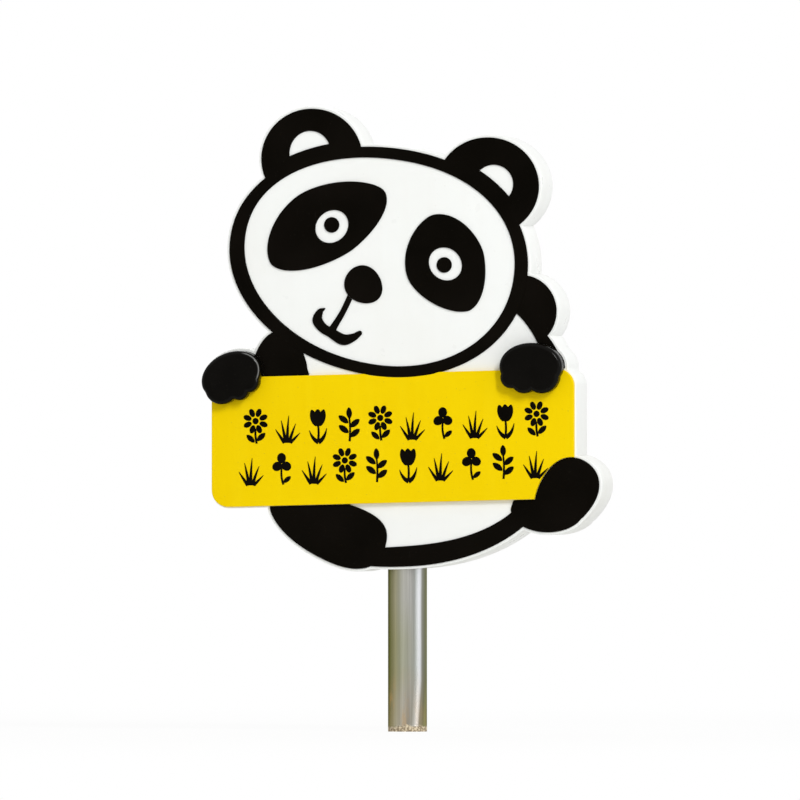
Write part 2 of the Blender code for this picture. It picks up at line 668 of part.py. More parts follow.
def saddle_outline():
    """A saddle from above: a half ring round the front of the post, straight legs, and an ear each side."""
    sides = facets_for(SADDLE_OUTER)
    turn = np.linspace(math.pi, 2 * math.pi, sides // 2 + 1)
    spread = 1 / math.cos(math.pi / sides)
    half_ring = np.column_stack([np.cos(turn), np.sin(turn)]) * spread
    ear_back = BACKING_FRONT_Y - GLUE_GAP
    ear_front = ear_back - SADDLE_THICKNESS
    ear_end = SADDLE_OUTER + SADDLE_EAR
    outer = half_ring * SADDLE_OUTER
    inner = half_ring[::-1] * SADDLE_INNER
    leg_out, leg_in = outer[-1, 0], inner[0, 0]
    right = [(leg_out, ear_front), (ear_end, ear_front), (ear_end, ear_back), (leg_in, ear_back)]
    left = [(-leg_in, ear_back), (-ear_end, ear_back), (-ear_end, ear_front), (-leg_out, ear_front)]
    return np.vstack([outer, right, inner, left])


def saddles():
    """Both saddles, each pulled to the backing plate by two bolts with nuts inside the box."""
    bolts = bolt_places()
    ear_front = BACKING_FRONT_Y - GLUE_GAP - SADDLE_THICKNESS
    nut_back = ear_front - GLUE_GAP
    nut_front = nut_back - NUT_THICKNESS
    hole_radius = BOLT.diameter / 2 + GLUE_GAP
    hole_depth = 4 * SADDLE_THICKNESS
    for level, height in zip(("lower", "upper"), SADDLE_HEIGHTS):
        name = f"saddle_{level}"
        loops = [saddle_outline()]
        saddle = as_mesh(extruded(name, loops, SADDLE_WIDTH, ZINC_STEEL, (0.0, 0.0, height), upright=False))
        for side in ("left", "right"):
            x, z = bolts[f"{level}_{side}"]
            hole = f"{name}_{side}_hole"
            cut(saddle, hole, rod_mesh(hole, hole_radius, hole_depth, HOLE_SIDES, (x, ear_front, z), True))
    for name, (x, z) in bolts.items():
        seat = (x, BACK_OUTER_Y + GLUE_GAP, z)
        button_head(f"bolt_{name}", seat, BOLT, seat[1] - nut_front + BOLT_PAST_NUT)
        loops = [hexagon_loop((x, z), NUT_ACROSS_FLATS), clearance_hole((x, z), BOLT)]
        sheet(f"nut_{name}", loops, nut_front, NUT_THICKNESS, BRIGHT_STEEL)


def figure_sheet(name, shapes, rule):
    """One black piece of the figure, glued to the face plate."""
    front = FACE_FRONT_Y - GLUE_GAP - FIGURE_THICKNESS
    sheet(name, outline_where(shapes, rule), front, FIGURE_THICKNESS, BLACK_SHEET)


def head_outline():
    """The ring round the face with both ears, each ear open in a half moon above the ring."""
    shapes = {
        "head": egg_loop(HEAD, BODY_CENTRE),
        "face": egg_loop(FACE, HEAD_CENTRE),
        "left_ear": egg_loop(LEFT_EAR, HEAD_CENTRE),
        "right_ear": egg_loop(RIGHT_EAR, HEAD_CENTRE),
        "left_hole": egg_loop(LEFT_EAR_HOLE, shifted(LEFT_EAR, HEAD_CENTRE)),
        "right_hole": egg_loop(RIGHT_EAR_HOLE, shifted(RIGHT_EAR, HEAD_CENTRE)),
        "ring": egg_loop(HEAD, BODY_CENTRE, EAR_HOLE_EDGE),
    }

    def inside(cover):
        hole = cover & {"left_hole", "right_hole"} and "ring" not in cover
        ear = cover & {"left_ear", "right_ear"} and not hole
        return "face" not in cover and bool("head" in cover or ear)

    figure_sheet("head_outline", shapes, inside)


def eyes():
    """Two eye patches, each open round its pupil so that the white face plate shows as a ring."""
    face = egg_loop(FACE, HEAD_CENTRE, -GLUE_GAP)
    eyes_by_side = {
        "left": (LEFT_PATCH, LEFT_EYE, LEFT_PUPIL),
        "right": (RIGHT_PATCH, RIGHT_EYE, RIGHT_PUPIL),
    }
    for side, (patch, eye, pupil) in eyes_by_side.items():
        patch_centre = shifted(patch, HEAD_CENTRE)
        eye_centre = shifted(eye, patch_centre)
        shapes = {
            "face": face,
            "patch": egg_loop(patch, HEAD_CENTRE),
            "eye": egg_loop(eye, patch_centre),
            "nose": egg_loop(NOSE, HEAD_CENTRE, GLUE_GAP),
        }
        figure_sheet(f"{side}_eye_patch", shapes, lambda cover: cover == {"face", "patch"})
        figure_sheet(f"{side}_pupil", {"pupil": egg_loop(pupil, eye_centre)}, bool)


def nose_and_mouth():
    """The nose, and the mouth as one piece of two brush strokes."""
    figure_sheet("nose", {"nose": egg_loop(NOSE, HEAD_CENTRE)}, bool)
    shapes = {
        "face": egg_loop(FACE, HEAD_CENTRE, -GLUE_GAP),
        "nose": egg_loop(NOSE, HEAD_CENTRE, GLUE_GAP),
        "smile": stroke_loop(SMILE, NOSE_CENTRE),
        "lip_line": stroke_loop(LIP_LINE, NOSE_CENTRE),
    }
    figure_sheet("mouth", shapes, lambda cover: "face" in cover and "nose" not in cover and len(cover) > 1)


def arms():
    """The left arm and the right shoulder with its arm, both ending at the head, the paw and the panel."""
    head = egg_loop(HEAD, BODY_CENTRE, GLUE_GAP)
    above = beside_panel_loop(1)
    shapes = {"head": head, "above": above, "arm": egg_loop(LEFT_ARM, BODY_CENTRE)}
    shapes.update(paw_shapes(LEFT_PAW, -1, GLUE_GAP))
    figure_sheet("left_arm", shapes, lambda cover: cover == {"above", "arm"})
    shapes = {
        "head": head,
        "above": above,
        "shoulder": egg_loop(SHOULDER, BODY_CENTRE),
        "body": egg_loop(BODY, BODY_CENTRE),
        "belly": egg_loop(BELLY, BODY_CENTRE),
        "right_side": right_side_loop(),
    }
    shapes.update(paw_shapes(RIGHT_PAW, 1, GLUE_GAP))

    def inside(cover):
        kept = {"above", "right_side"} <= cover and not cover & {"head", "belly"} and not has_paw(cover)
        return kept and bool(cover & {"shoulder", "body"})

    figure_sheet("right_arm", shapes, inside)


def legs():
    """The left leg, the body's lower edge and the right foot in one piece, the foot in the panel's notch."""
    shapes = {
        "leg": egg_loop(LEG, BODY_CENTRE),
        "foot": egg_loop(FOOT, BODY_CENTRE),
        "heel": egg_loop(HEEL, BODY_CENTRE),
        "body": egg_loop(BODY, BODY_CENTRE),
        "belly": egg_loop(BELLY, BODY_CENTRE),
        "below": beside_panel_loop(-1),
        "right_side": right_side_loop(),
    }

    def inside(cover):
        edge = {"body", "right_side"} <= cover and "belly" not in cover
        return "foot" in cover or "below" in cover and (edge or bool(cover & {"leg", "heel"}))

    figure_sheet("legs", shapes, inside)


def message_panel():
    """The blank panel, notched where the head dips into its top edge and where the foot takes its corner."""
    shapes = {
        "panel": panel_loop(),
        "head": egg_loop(HEAD, BODY_CENTRE, GLUE_GAP),
        "foot": egg_loop(FOOT, BODY_CENTRE, GLUE_GAP),
    }
    front = FACE_FRONT_Y - GLUE_GAP - PANEL_THICKNESS
    loops = outline_where(shapes, lambda cover: cover == {"panel"})
    sheet("message_panel", loops, front, PANEL_THICKNESS, YELLOW_SHEET)


def paws():
    """Thick glossy paws over the panel's top edge, each on a packer that fills up the step above the panel."""
    packer_front = FACE_FRONT_Y - GLUE_GAP - PANEL_THICKNESS
    paw_front = packer_front - GLUE_GAP - PAW_THICKNESS

    def inside_packer(cover):
        return "above" in cover and "head" not in cover and has_paw(cover)

    for side, paw, sign in (("left", LEFT_PAW, -1), ("right", RIGHT_PAW, 1)):
        shapes = paw_shapes(paw, sign)
        pad = sheet(f"{side}_paw", outline_where(shapes, bool), paw_front, PAW_THICKNESS, GLOSS_BLACK)
        round_front_edge(as_mesh(pad))
        shapes["above"] = beside_panel_loop(1)
        shapes["head"] = egg_loop(HEAD, BODY_CENTRE, GLUE_GAP)
        loops = outline_where(shapes, inside_packer)
        sheet(f"{side}_paw_packer", loops, packer_front, PANEL_THICKNESS, BLACK_SHEET)


def round_front_edge(piece):
    """Makes each flat face of an upright sheet one polygon, and rounds the edge round the front face."""
    work = bmesh.new()
    work.from_mesh(piece.data)
    bmesh.ops.dissolve_limit(work, angle_limit=FLAT_ANGLE, verts=work.verts, edges=work.edges)
    weight = work.edges.layers.float.new("bevel_weight_edge")
    for edge in work.edges:
        fronts = [face.normal.z > 0.5 for face in edge.link_faces]  # the sheet's own Z points to the front
        edge[weight] = float(fronts.count(True) == 1)
    work.to_mesh(piece.data)
    work.free()
    bevel = piece.modifiers.new("rounding", "BEVEL")
    bevel.limit_method = "WEIGHT"
    bevel.width = PAW_ROUNDING
    bevel.segments = PAW_ROUNDING_STEPS
    bevel.use_clamp_overlap = False


def collection(name):
    """A new collection in the scene."""
    made = bpy.data.collections.new(name)
    bpy.context.scene.collection.children.link(made)
    return made


for leftover in list(bpy.data.objects):
    bpy.data.objects.remove(leftover)
PARTS = collection("Lawn sign")
CUTTERS = collection("Cutters")
post()
box()
spacers_and_screws()
backing_plate()
saddles()
head_outline()
eyes()
nose_and_mouth()
arms()
legs()
message_panel()
paws()
print("pieces:", len(PARTS.objects))
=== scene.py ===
import math

import bmesh
import bpy
import numpy as np
from mathutils.geometry import delaunay_2d_cdt
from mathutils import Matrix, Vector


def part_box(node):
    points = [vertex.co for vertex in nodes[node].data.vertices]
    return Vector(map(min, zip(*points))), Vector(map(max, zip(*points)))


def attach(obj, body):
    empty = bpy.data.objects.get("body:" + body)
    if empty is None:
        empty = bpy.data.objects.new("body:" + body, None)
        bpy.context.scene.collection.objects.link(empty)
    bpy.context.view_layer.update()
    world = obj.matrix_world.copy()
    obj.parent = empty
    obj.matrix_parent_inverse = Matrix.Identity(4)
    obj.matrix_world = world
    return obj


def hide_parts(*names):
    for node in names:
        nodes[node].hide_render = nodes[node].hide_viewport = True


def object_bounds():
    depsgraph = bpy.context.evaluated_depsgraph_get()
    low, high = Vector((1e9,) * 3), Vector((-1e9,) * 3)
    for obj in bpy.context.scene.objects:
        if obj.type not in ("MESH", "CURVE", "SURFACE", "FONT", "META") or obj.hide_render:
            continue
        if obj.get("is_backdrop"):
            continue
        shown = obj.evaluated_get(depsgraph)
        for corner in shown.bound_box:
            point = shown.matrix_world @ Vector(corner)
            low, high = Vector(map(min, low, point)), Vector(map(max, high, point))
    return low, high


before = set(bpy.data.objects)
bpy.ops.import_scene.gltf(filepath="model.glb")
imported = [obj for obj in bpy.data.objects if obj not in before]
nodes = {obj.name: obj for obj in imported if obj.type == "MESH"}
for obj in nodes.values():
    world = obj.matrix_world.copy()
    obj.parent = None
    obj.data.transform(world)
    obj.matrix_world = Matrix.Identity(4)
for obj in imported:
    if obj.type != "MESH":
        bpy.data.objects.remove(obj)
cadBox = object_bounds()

weldDistance = 2e-6       # points of a new mesh that lie this close become one
print("frame loaded:", len(nodes), "nodes")


# Outlines. A loop is rows of x, z in metres, seen from the front, with the sheet on its left hand:
# anticlockwise round a sheet, clockwise round a hole.
outlines = {
    "weld": 1e-5,             # points of a CAD mesh that lie this close are one
    "rearDepth": 1e-4,        # a rear face lies this close to the rearmost point
    "rearNormal": 0.999,      # and its normal has at least this much y
    "step": 0.0012,           # spacing of the points along a curve
    "shortest": 0.0004,       # facets shorter than this are left out
    "cornerTurn": 24.0,       # degrees; a corner also turns this much more than the facets beside it
    "cornerRatio": 1.9,
    "straightLength": 0.012,  # a facet this long is a straight edge
    "straightRatio": 2.2,     # where it is also longer than its neighbours by this ratio
    "wrap": 8,                # facets taken past the ends of a loop that has no corner
    "spare": 1.35,            # the spline turns a little more at a corner than its facets do
    "mitreFloor": 0.05,       # keeps the mitre of a needle's point short
    "unionStep": 0.00008,     # shorter steps of a union of shapes are left out
    "unionArea": 1e-7,        # and smaller loops
}


def stepsOf(loop):
    # Each point's way to the next one, and its length.
    ways = np.roll(loop, -1, axis=0) - loop
    return ways, np.hypot(ways[:, 0], ways[:, 1])


def turnsOf(loop):
    # The angle by which the loop turns to the left at each point: this way's heading less the last one's.
    ways, _ = stepsOf(loop)
    heading = np.arctan2(ways[:, 1], ways[:, 0])
    return (heading - np.roll(heading, 1) + math.pi) % (2 * math.pi) - math.pi


def areaOf(loop):
    # Half the sum of x times the next z less the next x times z.
    after = np.roll(loop, -1, axis=0)
    return 0.5 * float(np.sum(loop[:, 0] * after[:, 1] - after[:, 0] * loop[:, 1]))


def chained(follows):
    # Closed loops out of a table that gives the point after each point.
    loops = []
    while follows:
        start, here = follows.popitem()
        loop = [start]
        while here != start:
            loop.append(here)
            here = follows.pop(here)
        loops.append(loop)
    return loops


def nodeLoops(name):
    # The outlines of a CAD node: the edges that only one of its rear faces uses, end to end.
    mesh = bmesh.new()
    mesh.from_mesh(nodes[name].data)
    bmesh.ops.remove_doubles(mesh, verts=mesh.verts, dist=outlines["weld"])
    mesh.normal_update()
    rear = max(vert.co.y for vert in mesh.verts) - outlines["rearDepth"]
    faces = [face for face in mesh.faces
             if face.normal.y > outlines["rearNormal"] and face.calc_center_median().y > rear]
    chosen = set(faces)
    follows = {}
    for face in faces:
        for corner in face.loops:
            if sum(other in chosen for other in corner.edge.link_faces) == 1:
                follows[corner.link_loop_next.vert] = corner.vert
    loops = [np.array([(vert.co.x, vert.co.z) for vert in loop]) for loop in chained(follows)]
    mesh.free()
    return loops


def splineThrough(points, at, startWay=None, endWay=None):
    # A cubic from point to point over the chord length t. Its second derivative m at the points solves
    # h[i-1] m[i-1] + 2 (h[i-1] + h[i]) m[i] + h[i] m[i+1] = 6 (way[i] / h[i] - way[i-1] / h[i-1]);
    # an end leaves along a given direction, or keeps the m of the point beside it.
    ways = np.diff(points, axis=0)
    h = np.hypot(ways[:, 0], ways[:, 1])
    slope = ways / h[:, None]
    count = len(points)
    matrix = np.zeros((count, count))
    right = np.zeros((count, 2))
    inner = np.arange(1, count - 1)
    matrix[inner, inner - 1] = h[:-1]
    matrix[inner, inner] = 2 * (h[:-1] + h[1:])
    matrix[inner, inner + 1] = h[1:]
    right[1:-1] = 6 * (slope[1:] - slope[:-1])
    if startWay is None:
        matrix[0, :2] = 1, -1 if count > 2 else 0
    else:
        matrix[0, :2] = 2 * h[0], h[0]
        right[0] = 6 * (slope[0] - startWay)
    if endWay is None:
        matrix[-1, -2:] = -1 if count > 2 else 0, 1
    else:
        matrix[-1, -2:] = h[-1], 2 * h[-1]
        right[-1] = 6 * (endWay - slope[-1])
    m = np.linalg.solve(matrix, right)
    t = np.concatenate([[0.0], np.cumsum(h)])
    i = np.clip(np.searchsorted(t, at, side="right") - 1, 0, count - 2)
    u = (at - t[i])[:, None]
    length = h[i][:, None]
    first = slope[i] - length * (2 * m[i] + m[i + 1]) / 6
    return points[i] + u * first + u ** 2 * m[i] / 2 + u ** 3 * (m[i + 1] - m[i]) / (6 * length)


def smoothLoop(loop, reach):
    # The same outline in fine steps: straight edges stay, curves run on a spline between corners. Beside a
    # corner that sticks out, the first point stands back by spare times reach times tan(turn / 2), so that
    # an inset by reach doesn't fold there.
    loop = loop[stepsOf(loop)[1] > outlines["shortest"]]
    ways, lengths = stepsOf(loop)
    turn = turnsOf(loop)
    beside = (np.abs(np.roll(turn, 1)) + np.abs(np.roll(turn, -1))) / 2
    corner = np.abs(turn) > np.maximum(np.radians(outlines["cornerTurn"]), outlines["cornerRatio"] * beside)
    longest = outlines["straightRatio"] * np.maximum(np.roll(lengths, 1), np.roll(lengths, -1))
    straight = (lengths > outlines["straightLength"]) & (lengths > longest)
    breaks = np.flatnonzero(corner | straight | np.roll(straight, 1))
    step, wrap = outlines["step"], outlines["wrap"]
    count = len(loop)
    if len(breaks) == 0:
        index = np.arange(-wrap, count + wrap + 1) % count
        t = np.concatenate([[0.0], np.cumsum(lengths[index[:-1]])])
        at = np.linspace(t[wrap], t[wrap + count], math.ceil((t[wrap + count] - t[wrap]) / step) + 1)
        return splineThrough(loop[index], at)[:-1]
    back = np.where(corner & (turn > 0), outlines["spare"] * reach * np.tan(np.abs(turn) / 2), 0.0)
    runs = []
    for first, last in zip(breaks, np.roll(breaks, -1)):
        index = np.arange(first, last + 1 + (count if last <= first else 0)) % count
        run = loop[index]
        if len(run) == 2 and straight[first]:
            runs.append(run[:1])
            continue
        length = lengths[index[:-1]].sum()
        low, high = back[first], length - back[last]
        pieces = math.ceil((high - low) / step) if high > low else 0
        at = np.linspace(low, high, pieces + 1) if pieces else np.zeros(0)
        at = np.concatenate([[0.0], at[(at > outlines["weld"]) & (at < length - outlines["weld"])]])
        before = first - 1
        startWay = ways[before] / lengths[before] if straight[before] and not corner[first] else None
        endWay = ways[last] / lengths[last] if straight[last] and not corner[last] else None
        runs.append(splineThrough(run, at, startWay, endWay))
    return np.concatenate(runs)


def cutIntoTriangles(loops):
    # A Delaunay mesh on the loops' points. Each triangle has the numbers of the loops that it lies in.
    starts = np.cumsum([0] + [len(loop) for loop in loops])
    polygons = [list(range(a, b)) for a, b in zip(starts, starts[1:])]
    polygons = [polygon if areaOf(loop) > 0 else polygon[::-1] for polygon, loop in zip(polygons, loops)]
    points = [tuple(point) for point in np.concatenate(loops)]
    points, _, triangles, _, _, inside = delaunay_2d_cdt(points, [], polygons, 1, 1e-8, True)
    return np.array([tuple(point) for point in points]), triangles, inside


def unionOf(loops):
    # The outline of all that the loops cover: the edges of the Delaunay mesh that only one triangle uses.
    points, triangles, inside = cutIntoTriangles(loops)
    covered = [face for face, within in zip(triangles, inside) if within]
    edges = {(a, b) for face in covered for a, b in zip(face, face[1:] + face[:1])}
    follows = {a: b for a, b in edges if (b, a) not in edges}
    found = [points[loop] for loop in chained(follows)]
    found = [loop[stepsOf(loop)[1] > outlines["unionStep"]] for loop in found]
    return [loop for loop in found if len(loop) > 2 and abs(areaOf(loop)) > outlines["unionArea"]]


# Meshes.

sharpTurn = 38.0          # degrees; edges that turn more are shaded sharp


def weldedMesh(name, points, faces):
    # Points that lie together become one, and faces without area go.
    mesh = bpy.data.meshes.new(name)
    mesh.from_pydata(np.asarray(points).tolist(), [], faces)
    work = bmesh.new()
    work.from_mesh(mesh)
    bmesh.ops.remove_doubles(work, verts=work.verts, dist=weldDistance)
    bmesh.ops.dissolve_degenerate(work, edges=work.edges, dist=weldDistance)
    work.to_mesh(mesh)
    work.free()
    return mesh


def newPiece(name, points, faces, material, replaced=(), sharpAbove=sharpTurn):
    # A smooth shaded mesh that rides on the sign, with its sharp edges marked.
    mesh = weldedMesh(name, points, faces)
    mesh.polygons.foreach_set("use_smooth", np.ones(len(mesh.polygons), dtype=bool))
    mesh.set_sharp_from_angle(angle=math.radians(sharpAbove))
    mesh.materials.append(material)
    piece = bpy.data.objects.new(name, mesh)
    bpy.context.scene.collection.objects.link(piece)
    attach(piece, "root")
    if replaced:
        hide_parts(*replaced)
    return piece


def edgeProfile(front, rear, frontRound, rearRound, steps, rim):
    # Rows of inset and y from the front face round the edge to the rear face: at angle a the rounding
    # stands r (1 - sin a) in from the edge and r (1 - cos a) behind the face. A flat rim lies inside each
    # rounding.
    a = np.linspace(0.0, math.pi / 2, steps + 1)
    frontRows = np.stack([frontRound * (1 - np.sin(a)), front + frontRound * (1 - np.cos(a))], axis=1)
    rearRows = np.stack([rearRound * (1 - np.sin(a)), rear - rearRound * (1 - np.cos(a))], axis=1)[::-1]
    return np.concatenate([[[frontRound + rim, front]], frontRows, rearRows, [[rearRound + rim, rear]]])


def plateMesh(loops, profile):
    # A sheet: point (i, j) is outline point i moved inwards by inset j along the mitre
    # (n[i-1] + n[i]) / (1 + n[i-1] . n[i]) of the two inward normals there, at depth y j. Triangles close
    # both faces.
    points, faces, rims = [], [], ([], [])
    start = 0
    for loop in loops:
        ways, lengths = stepsOf(loop)
        normal = np.stack([-ways[:, 1], ways[:, 0]], axis=1) / lengths[:, None]
        before = np.roll(normal, 1, axis=0)
        together = 1 + np.sum(before * normal, axis=1)
        mitre = (before + normal) / np.maximum(together, outlines["mitreFloor"])[:, None]
        flat = loop[:, None, :] + profile[None, :, :1] * mitre[:, None, :]
        depth = np.broadcast_to(profile[None, :, 1], flat.shape[:2])
        grid = np.stack([flat[..., 0], depth, flat[..., 1]], axis=2)
        count, rows = grid.shape[:2]
        index = start + np.arange(count * rows).reshape(count, rows)
        after = np.roll(index, -1, axis=0)
        quads = np.stack([index[:, :-1], index[:, 1:], after[:, 1:], after[:, :-1]], axis=2)
        faces += quads.reshape(-1, 4).tolist()
        points.append(grid.reshape(-1, 3))
        rims[0].append(flat[:, 0])
        rims[1].append(flat[:, -1])
        start += count * rows
    for side, depth in ((0, profile[0, 1]), (1, profile[-1, 1])):
        flat, triangles, inside = cutIntoTriangles(rims[side])
        solid = [1 if areaOf(loop) > 0 else -1 for loop in rims[side]]
        kept = [face for face, within in zip(triangles, inside) if sum(solid[k] for k in within) == 1]
        faces += [[start + k for k in (face if side == 0 else face[::-1])] for face in kept]
        points.append(np.stack([flat[:, 0], np.full(len(flat), depth), flat[:, 1]], axis=1))
        start += len(flat)
    return np.concatenate(points), faces


def turnedMesh(radii, heights):
    # A turned solid: point (i, j) is at radius r[i, j], angle 2 pi j / sides and height h[i] on the axis.
    rows, sides = radii.shape
    angle = 2 * math.pi * np.arange(sides) / sides
    up = np.repeat(heights[:, None], sides, axis=1)
    grid = np.stack([radii * np.cos(angle), radii * np.sin(angle), up], axis=2)
    index = np.arange(rows * sides).reshape(rows, sides)
    after = np.roll(index, -1, axis=1)
    quads = np.stack([index[:-1], after[:-1], after[1:], index[1:]], axis=2)
    return grid.reshape(-1, 3), quads.reshape(-1, 4).tolist()


# Materials. Object coordinates are metres on the sign itself.

def addNode(tree, kind, settings=(), **inputs):
    # A shader node. An input i0, i1 ... goes by its number, any other by its name; a socket is linked and a
    # plain value is set.
    node = tree.nodes.new("ShaderNode" + kind)
    for key, value in dict(settings).items():
        setattr(node, key, value)
    for key, value in inputs.items():
        socket = node.inputs[int(key[1:])] if key[0] == "i" and key[1:].isdigit() else node.inputs[key]
        if isinstance(value, bpy.types.NodeSocket):
            tree.links.new(value, socket)
        else:
            socket.default_value = value
    return node


def newMaterial(name, **constants):
    # A material, its tree, its shader with plain numbers set on it, and its object coordinates.
    material = bpy.data.materials.new(name)
    material.use_nodes = True
    tree = material.node_tree
    shader = tree.nodes["Principled BSDF"]
    for key, value in constants.items():
        shader.inputs[key.replace("_", " ")].default_value = value
    return material, tree, shader, tree.nodes.new("ShaderNodeTexCoord").outputs["Object"]


def stretched(tree, at, scale):
    return addNode(tree, "Mapping", Vector=at, Scale=scale).outputs["Vector"]


def noise(tree, at, scale, detail=3.0, roughness=0.5):
    # Values lie mostly between 0.3 and 0.75; the materials cut their spots and clouds out of that range.
    made = addNode(tree, "TexNoise", Vector=at, Scale=scale, Detail=detail, Roughness=roughness)
    return made.outputs["Fac"]


def between(tree, value, low, high, start=0.0, end=1.0):
    # start below low, end above high, a straight line between them.
    return addNode(tree, "MapRange", i0=value, i1=low, i2=high, i3=start, i4=end).outputs["Result"]


def reckoned(tree, operation, a, b, c=0.0, clamp=False):
    # A Math node's result.
    made = addNode(tree, "Math", {"operation": operation, "use_clamp": clamp}, i0=a, i1=b, i2=c)
    return made.outputs["Value"]


def product(tree, a, b):
    return reckoned(tree, "MULTIPLY", a, b)


def colourMix(tree, share, a, b, blend="MIX"):
    # Colours as plain numbers or as sockets. Inputs 6 and 7 and output 2 are the Mix node's colours.
    a, b = ((*colour, 1.0) if isinstance(colour, tuple) else colour for colour in (a, b))
    return addNode(tree, "Mix", {"data_type": "RGBA", "blend_type": blend}, i0=share, i6=a, i7=b).outputs[2]


def bumped(tree, height, distance, under=None):
    # The normal of a height in metres, on top of another one.
    made = addNode(tree, "Bump", Height=height, Distance=distance, Strength=1.0)
    if under is not None:
        tree.links.new(under, made.inputs["Normal"])
    return made.outputs["Normal"]


def finished(tree, shader, colour, roughness, normal):
    tree.links.new(colour, shader.inputs["Base Color"])
    tree.links.new(roughness, shader.inputs["Roughness"])
    tree.links.new(normal, shader.inputs["Normal"])


whitePaint = {
    "colour": (0.895, 0.91, 0.89),
    "aged": (0.85, 0.855, 0.82),
    "cloudScale": 9.0,
    "cloudShare": 0.55,
    "runScale": (60.0, 60.0, 3.0),
    "runShare": 0.25,
    "lowPatch": (0.50, 0.47, 0.36),
    "lowPatchScale": 26.0,
    "lowPatchTop": 0.34,    # darker beige patches reach from the underside up to here
    "lowPatchFull": 0.14,
    "dust": (0.55, 0.53, 0.47),
    "dustScale": 520.0,
    "dustShare": 0.35,
    "sheenScale": 34.0,
    "roughness": (0.26, 0.44),
    "peelScale": 420.0,
    "peel": 0.00002,
}


def whitePaintMaterial(name, lowPatch):
    # Clouds and runs of aged paint, darker beige patches towards the bottom that fade upwards by the share
    # given, and specks of dust.
    look = whitePaint
    material, tree, shader, at = newMaterial(name, Specular_IOR_Level=0.4)
    cloud = between(tree, noise(tree, at, look["cloudScale"], 4.0), 0.42, 0.72)
    colour = colourMix(tree, product(tree, cloud, look["cloudShare"]), look["colour"], look["aged"])
    runs = between(tree, noise(tree, stretched(tree, at, look["runScale"]), 1.0, 4.0, 0.6), 0.5, 0.8)
    colour = colourMix(tree, product(tree, runs, look["runShare"]), colour, look["aged"])
    height = addNode(tree, "SeparateXYZ", Vector=at).outputs["Z"]
    # Darker beige patches towards the bottom; the side band takes far more of them than the face.
    low = between(tree, height, look["lowPatchFull"], look["lowPatchTop"], lowPatch, 0.0)
    patches = between(tree, noise(tree, at, look["lowPatchScale"], 6.0, 0.65), 0.3, 0.75, 0.25, 1.0)
    colour = colourMix(tree, product(tree, low, patches), colour, look["lowPatch"])
    specks = between(tree, noise(tree, at, look["dustScale"], 2.0), 0.70, 0.76)
    colour = colourMix(tree, product(tree, specks, look["dustShare"]), colour, look["dust"])
    roughness = between(tree, noise(tree, at, look["sheenScale"], 5.0), 0.3, 0.75, *look["roughness"])
    normal = bumped(tree, noise(tree, at, look["peelScale"], 2.0), look["peel"])
    finished(tree, shader, colour, roughness, normal)
    return material


blackSheet = {
    "colour": (0.0024, 0.0019, 0.0011),
    "faded": (0.0048, 0.0037, 0.0026),
    "fadedScale": 14.0,
    "dust": (0.024, 0.021, 0.017),
    "dustScale": 780.0,
    "dustShare": 0.5,
    "scratch": (0.016, 0.014, 0.012),
    "scratchScale": (900.0, 900.0, 25.0),
    "scratchedScale": 30.0,     # patches that have the scratches
    "sheenScale": 60.0,
    "roughness": (0.36, 0.52),
    "grainScale": 900.0,
    "grain": 0.000012,
}


def blackSheetMaterial():
    # Faded clouds, specks of dust, and patches of fine upright scratches.
    look = blackSheet
    material, tree, shader, at = newMaterial("blackSheet", Specular_IOR_Level=0.015)
    cloud = between(tree, noise(tree, at, look["fadedScale"], 5.0), 0.35, 0.7)
    colour = colourMix(tree, cloud, look["colour"], look["faded"])
    dust = between(tree, noise(tree, at, look["dustScale"], 2.0), 0.70, 0.78)
    colour = colourMix(tree, product(tree, dust, look["dustShare"]), colour, look["dust"])
    lines = between(tree, noise(tree, stretched(tree, at, look["scratchScale"]), 1.0, 2.0), 0.72, 0.78)
    patches = between(tree, noise(tree, at, look["scratchedScale"]), 0.55, 0.7)
    colour = colourMix(tree, product(tree, lines, patches), colour, look["scratch"])
    roughness = between(tree, noise(tree, at, look["sheenScale"], 5.0), 0.3, 0.7, *look["roughness"])
    normal = bumped(tree, noise(tree, at, look["grainScale"], 2.0), look["grain"])
    finished(tree, shader, colour, roughness, normal)
    return material


pawGloss = {
    "colour": (0.0020, 0.0016, 0.0010),
    "haze": (0.0036, 0.0030, 0.0022),
    "hazeScale": 40.0,
    "dust": (0.036, 0.033, 0.028),
    "dustScale": 900.0,
    "dustShare": 0.5,
    "coat": 0.11,         # how much of the clear coat is left on the rounded edge
    "worn": 0.02,         # and on the flat front, which hands have dulled
    "wornDepth": (0.00005, 0.0004),       # behind the front: the one gives way to the other
    "rounding": 0.0045,
    "paintedHighlight": (0.17, 0.17, 0.165),        # a painted highlight: the left paw's rounded edge is painted grey towards the upper right
    "paintedHighlightDepth": (0.0004, 0.0008, 0.0011, 0.0015),    # behind the front: starts, full, full, ends
    "paintedHighlightWay": (0.88, 0.0, 0.475),
    "paintedHighlightReach": (0.0205, 0.0245),      # along that way from the paw's middle: starts, full
    "sheenScale": 90.0,
    "roughness": (0.15, 0.22),
    "waveScale": 55.0,
    "wave": 0.00008,
}


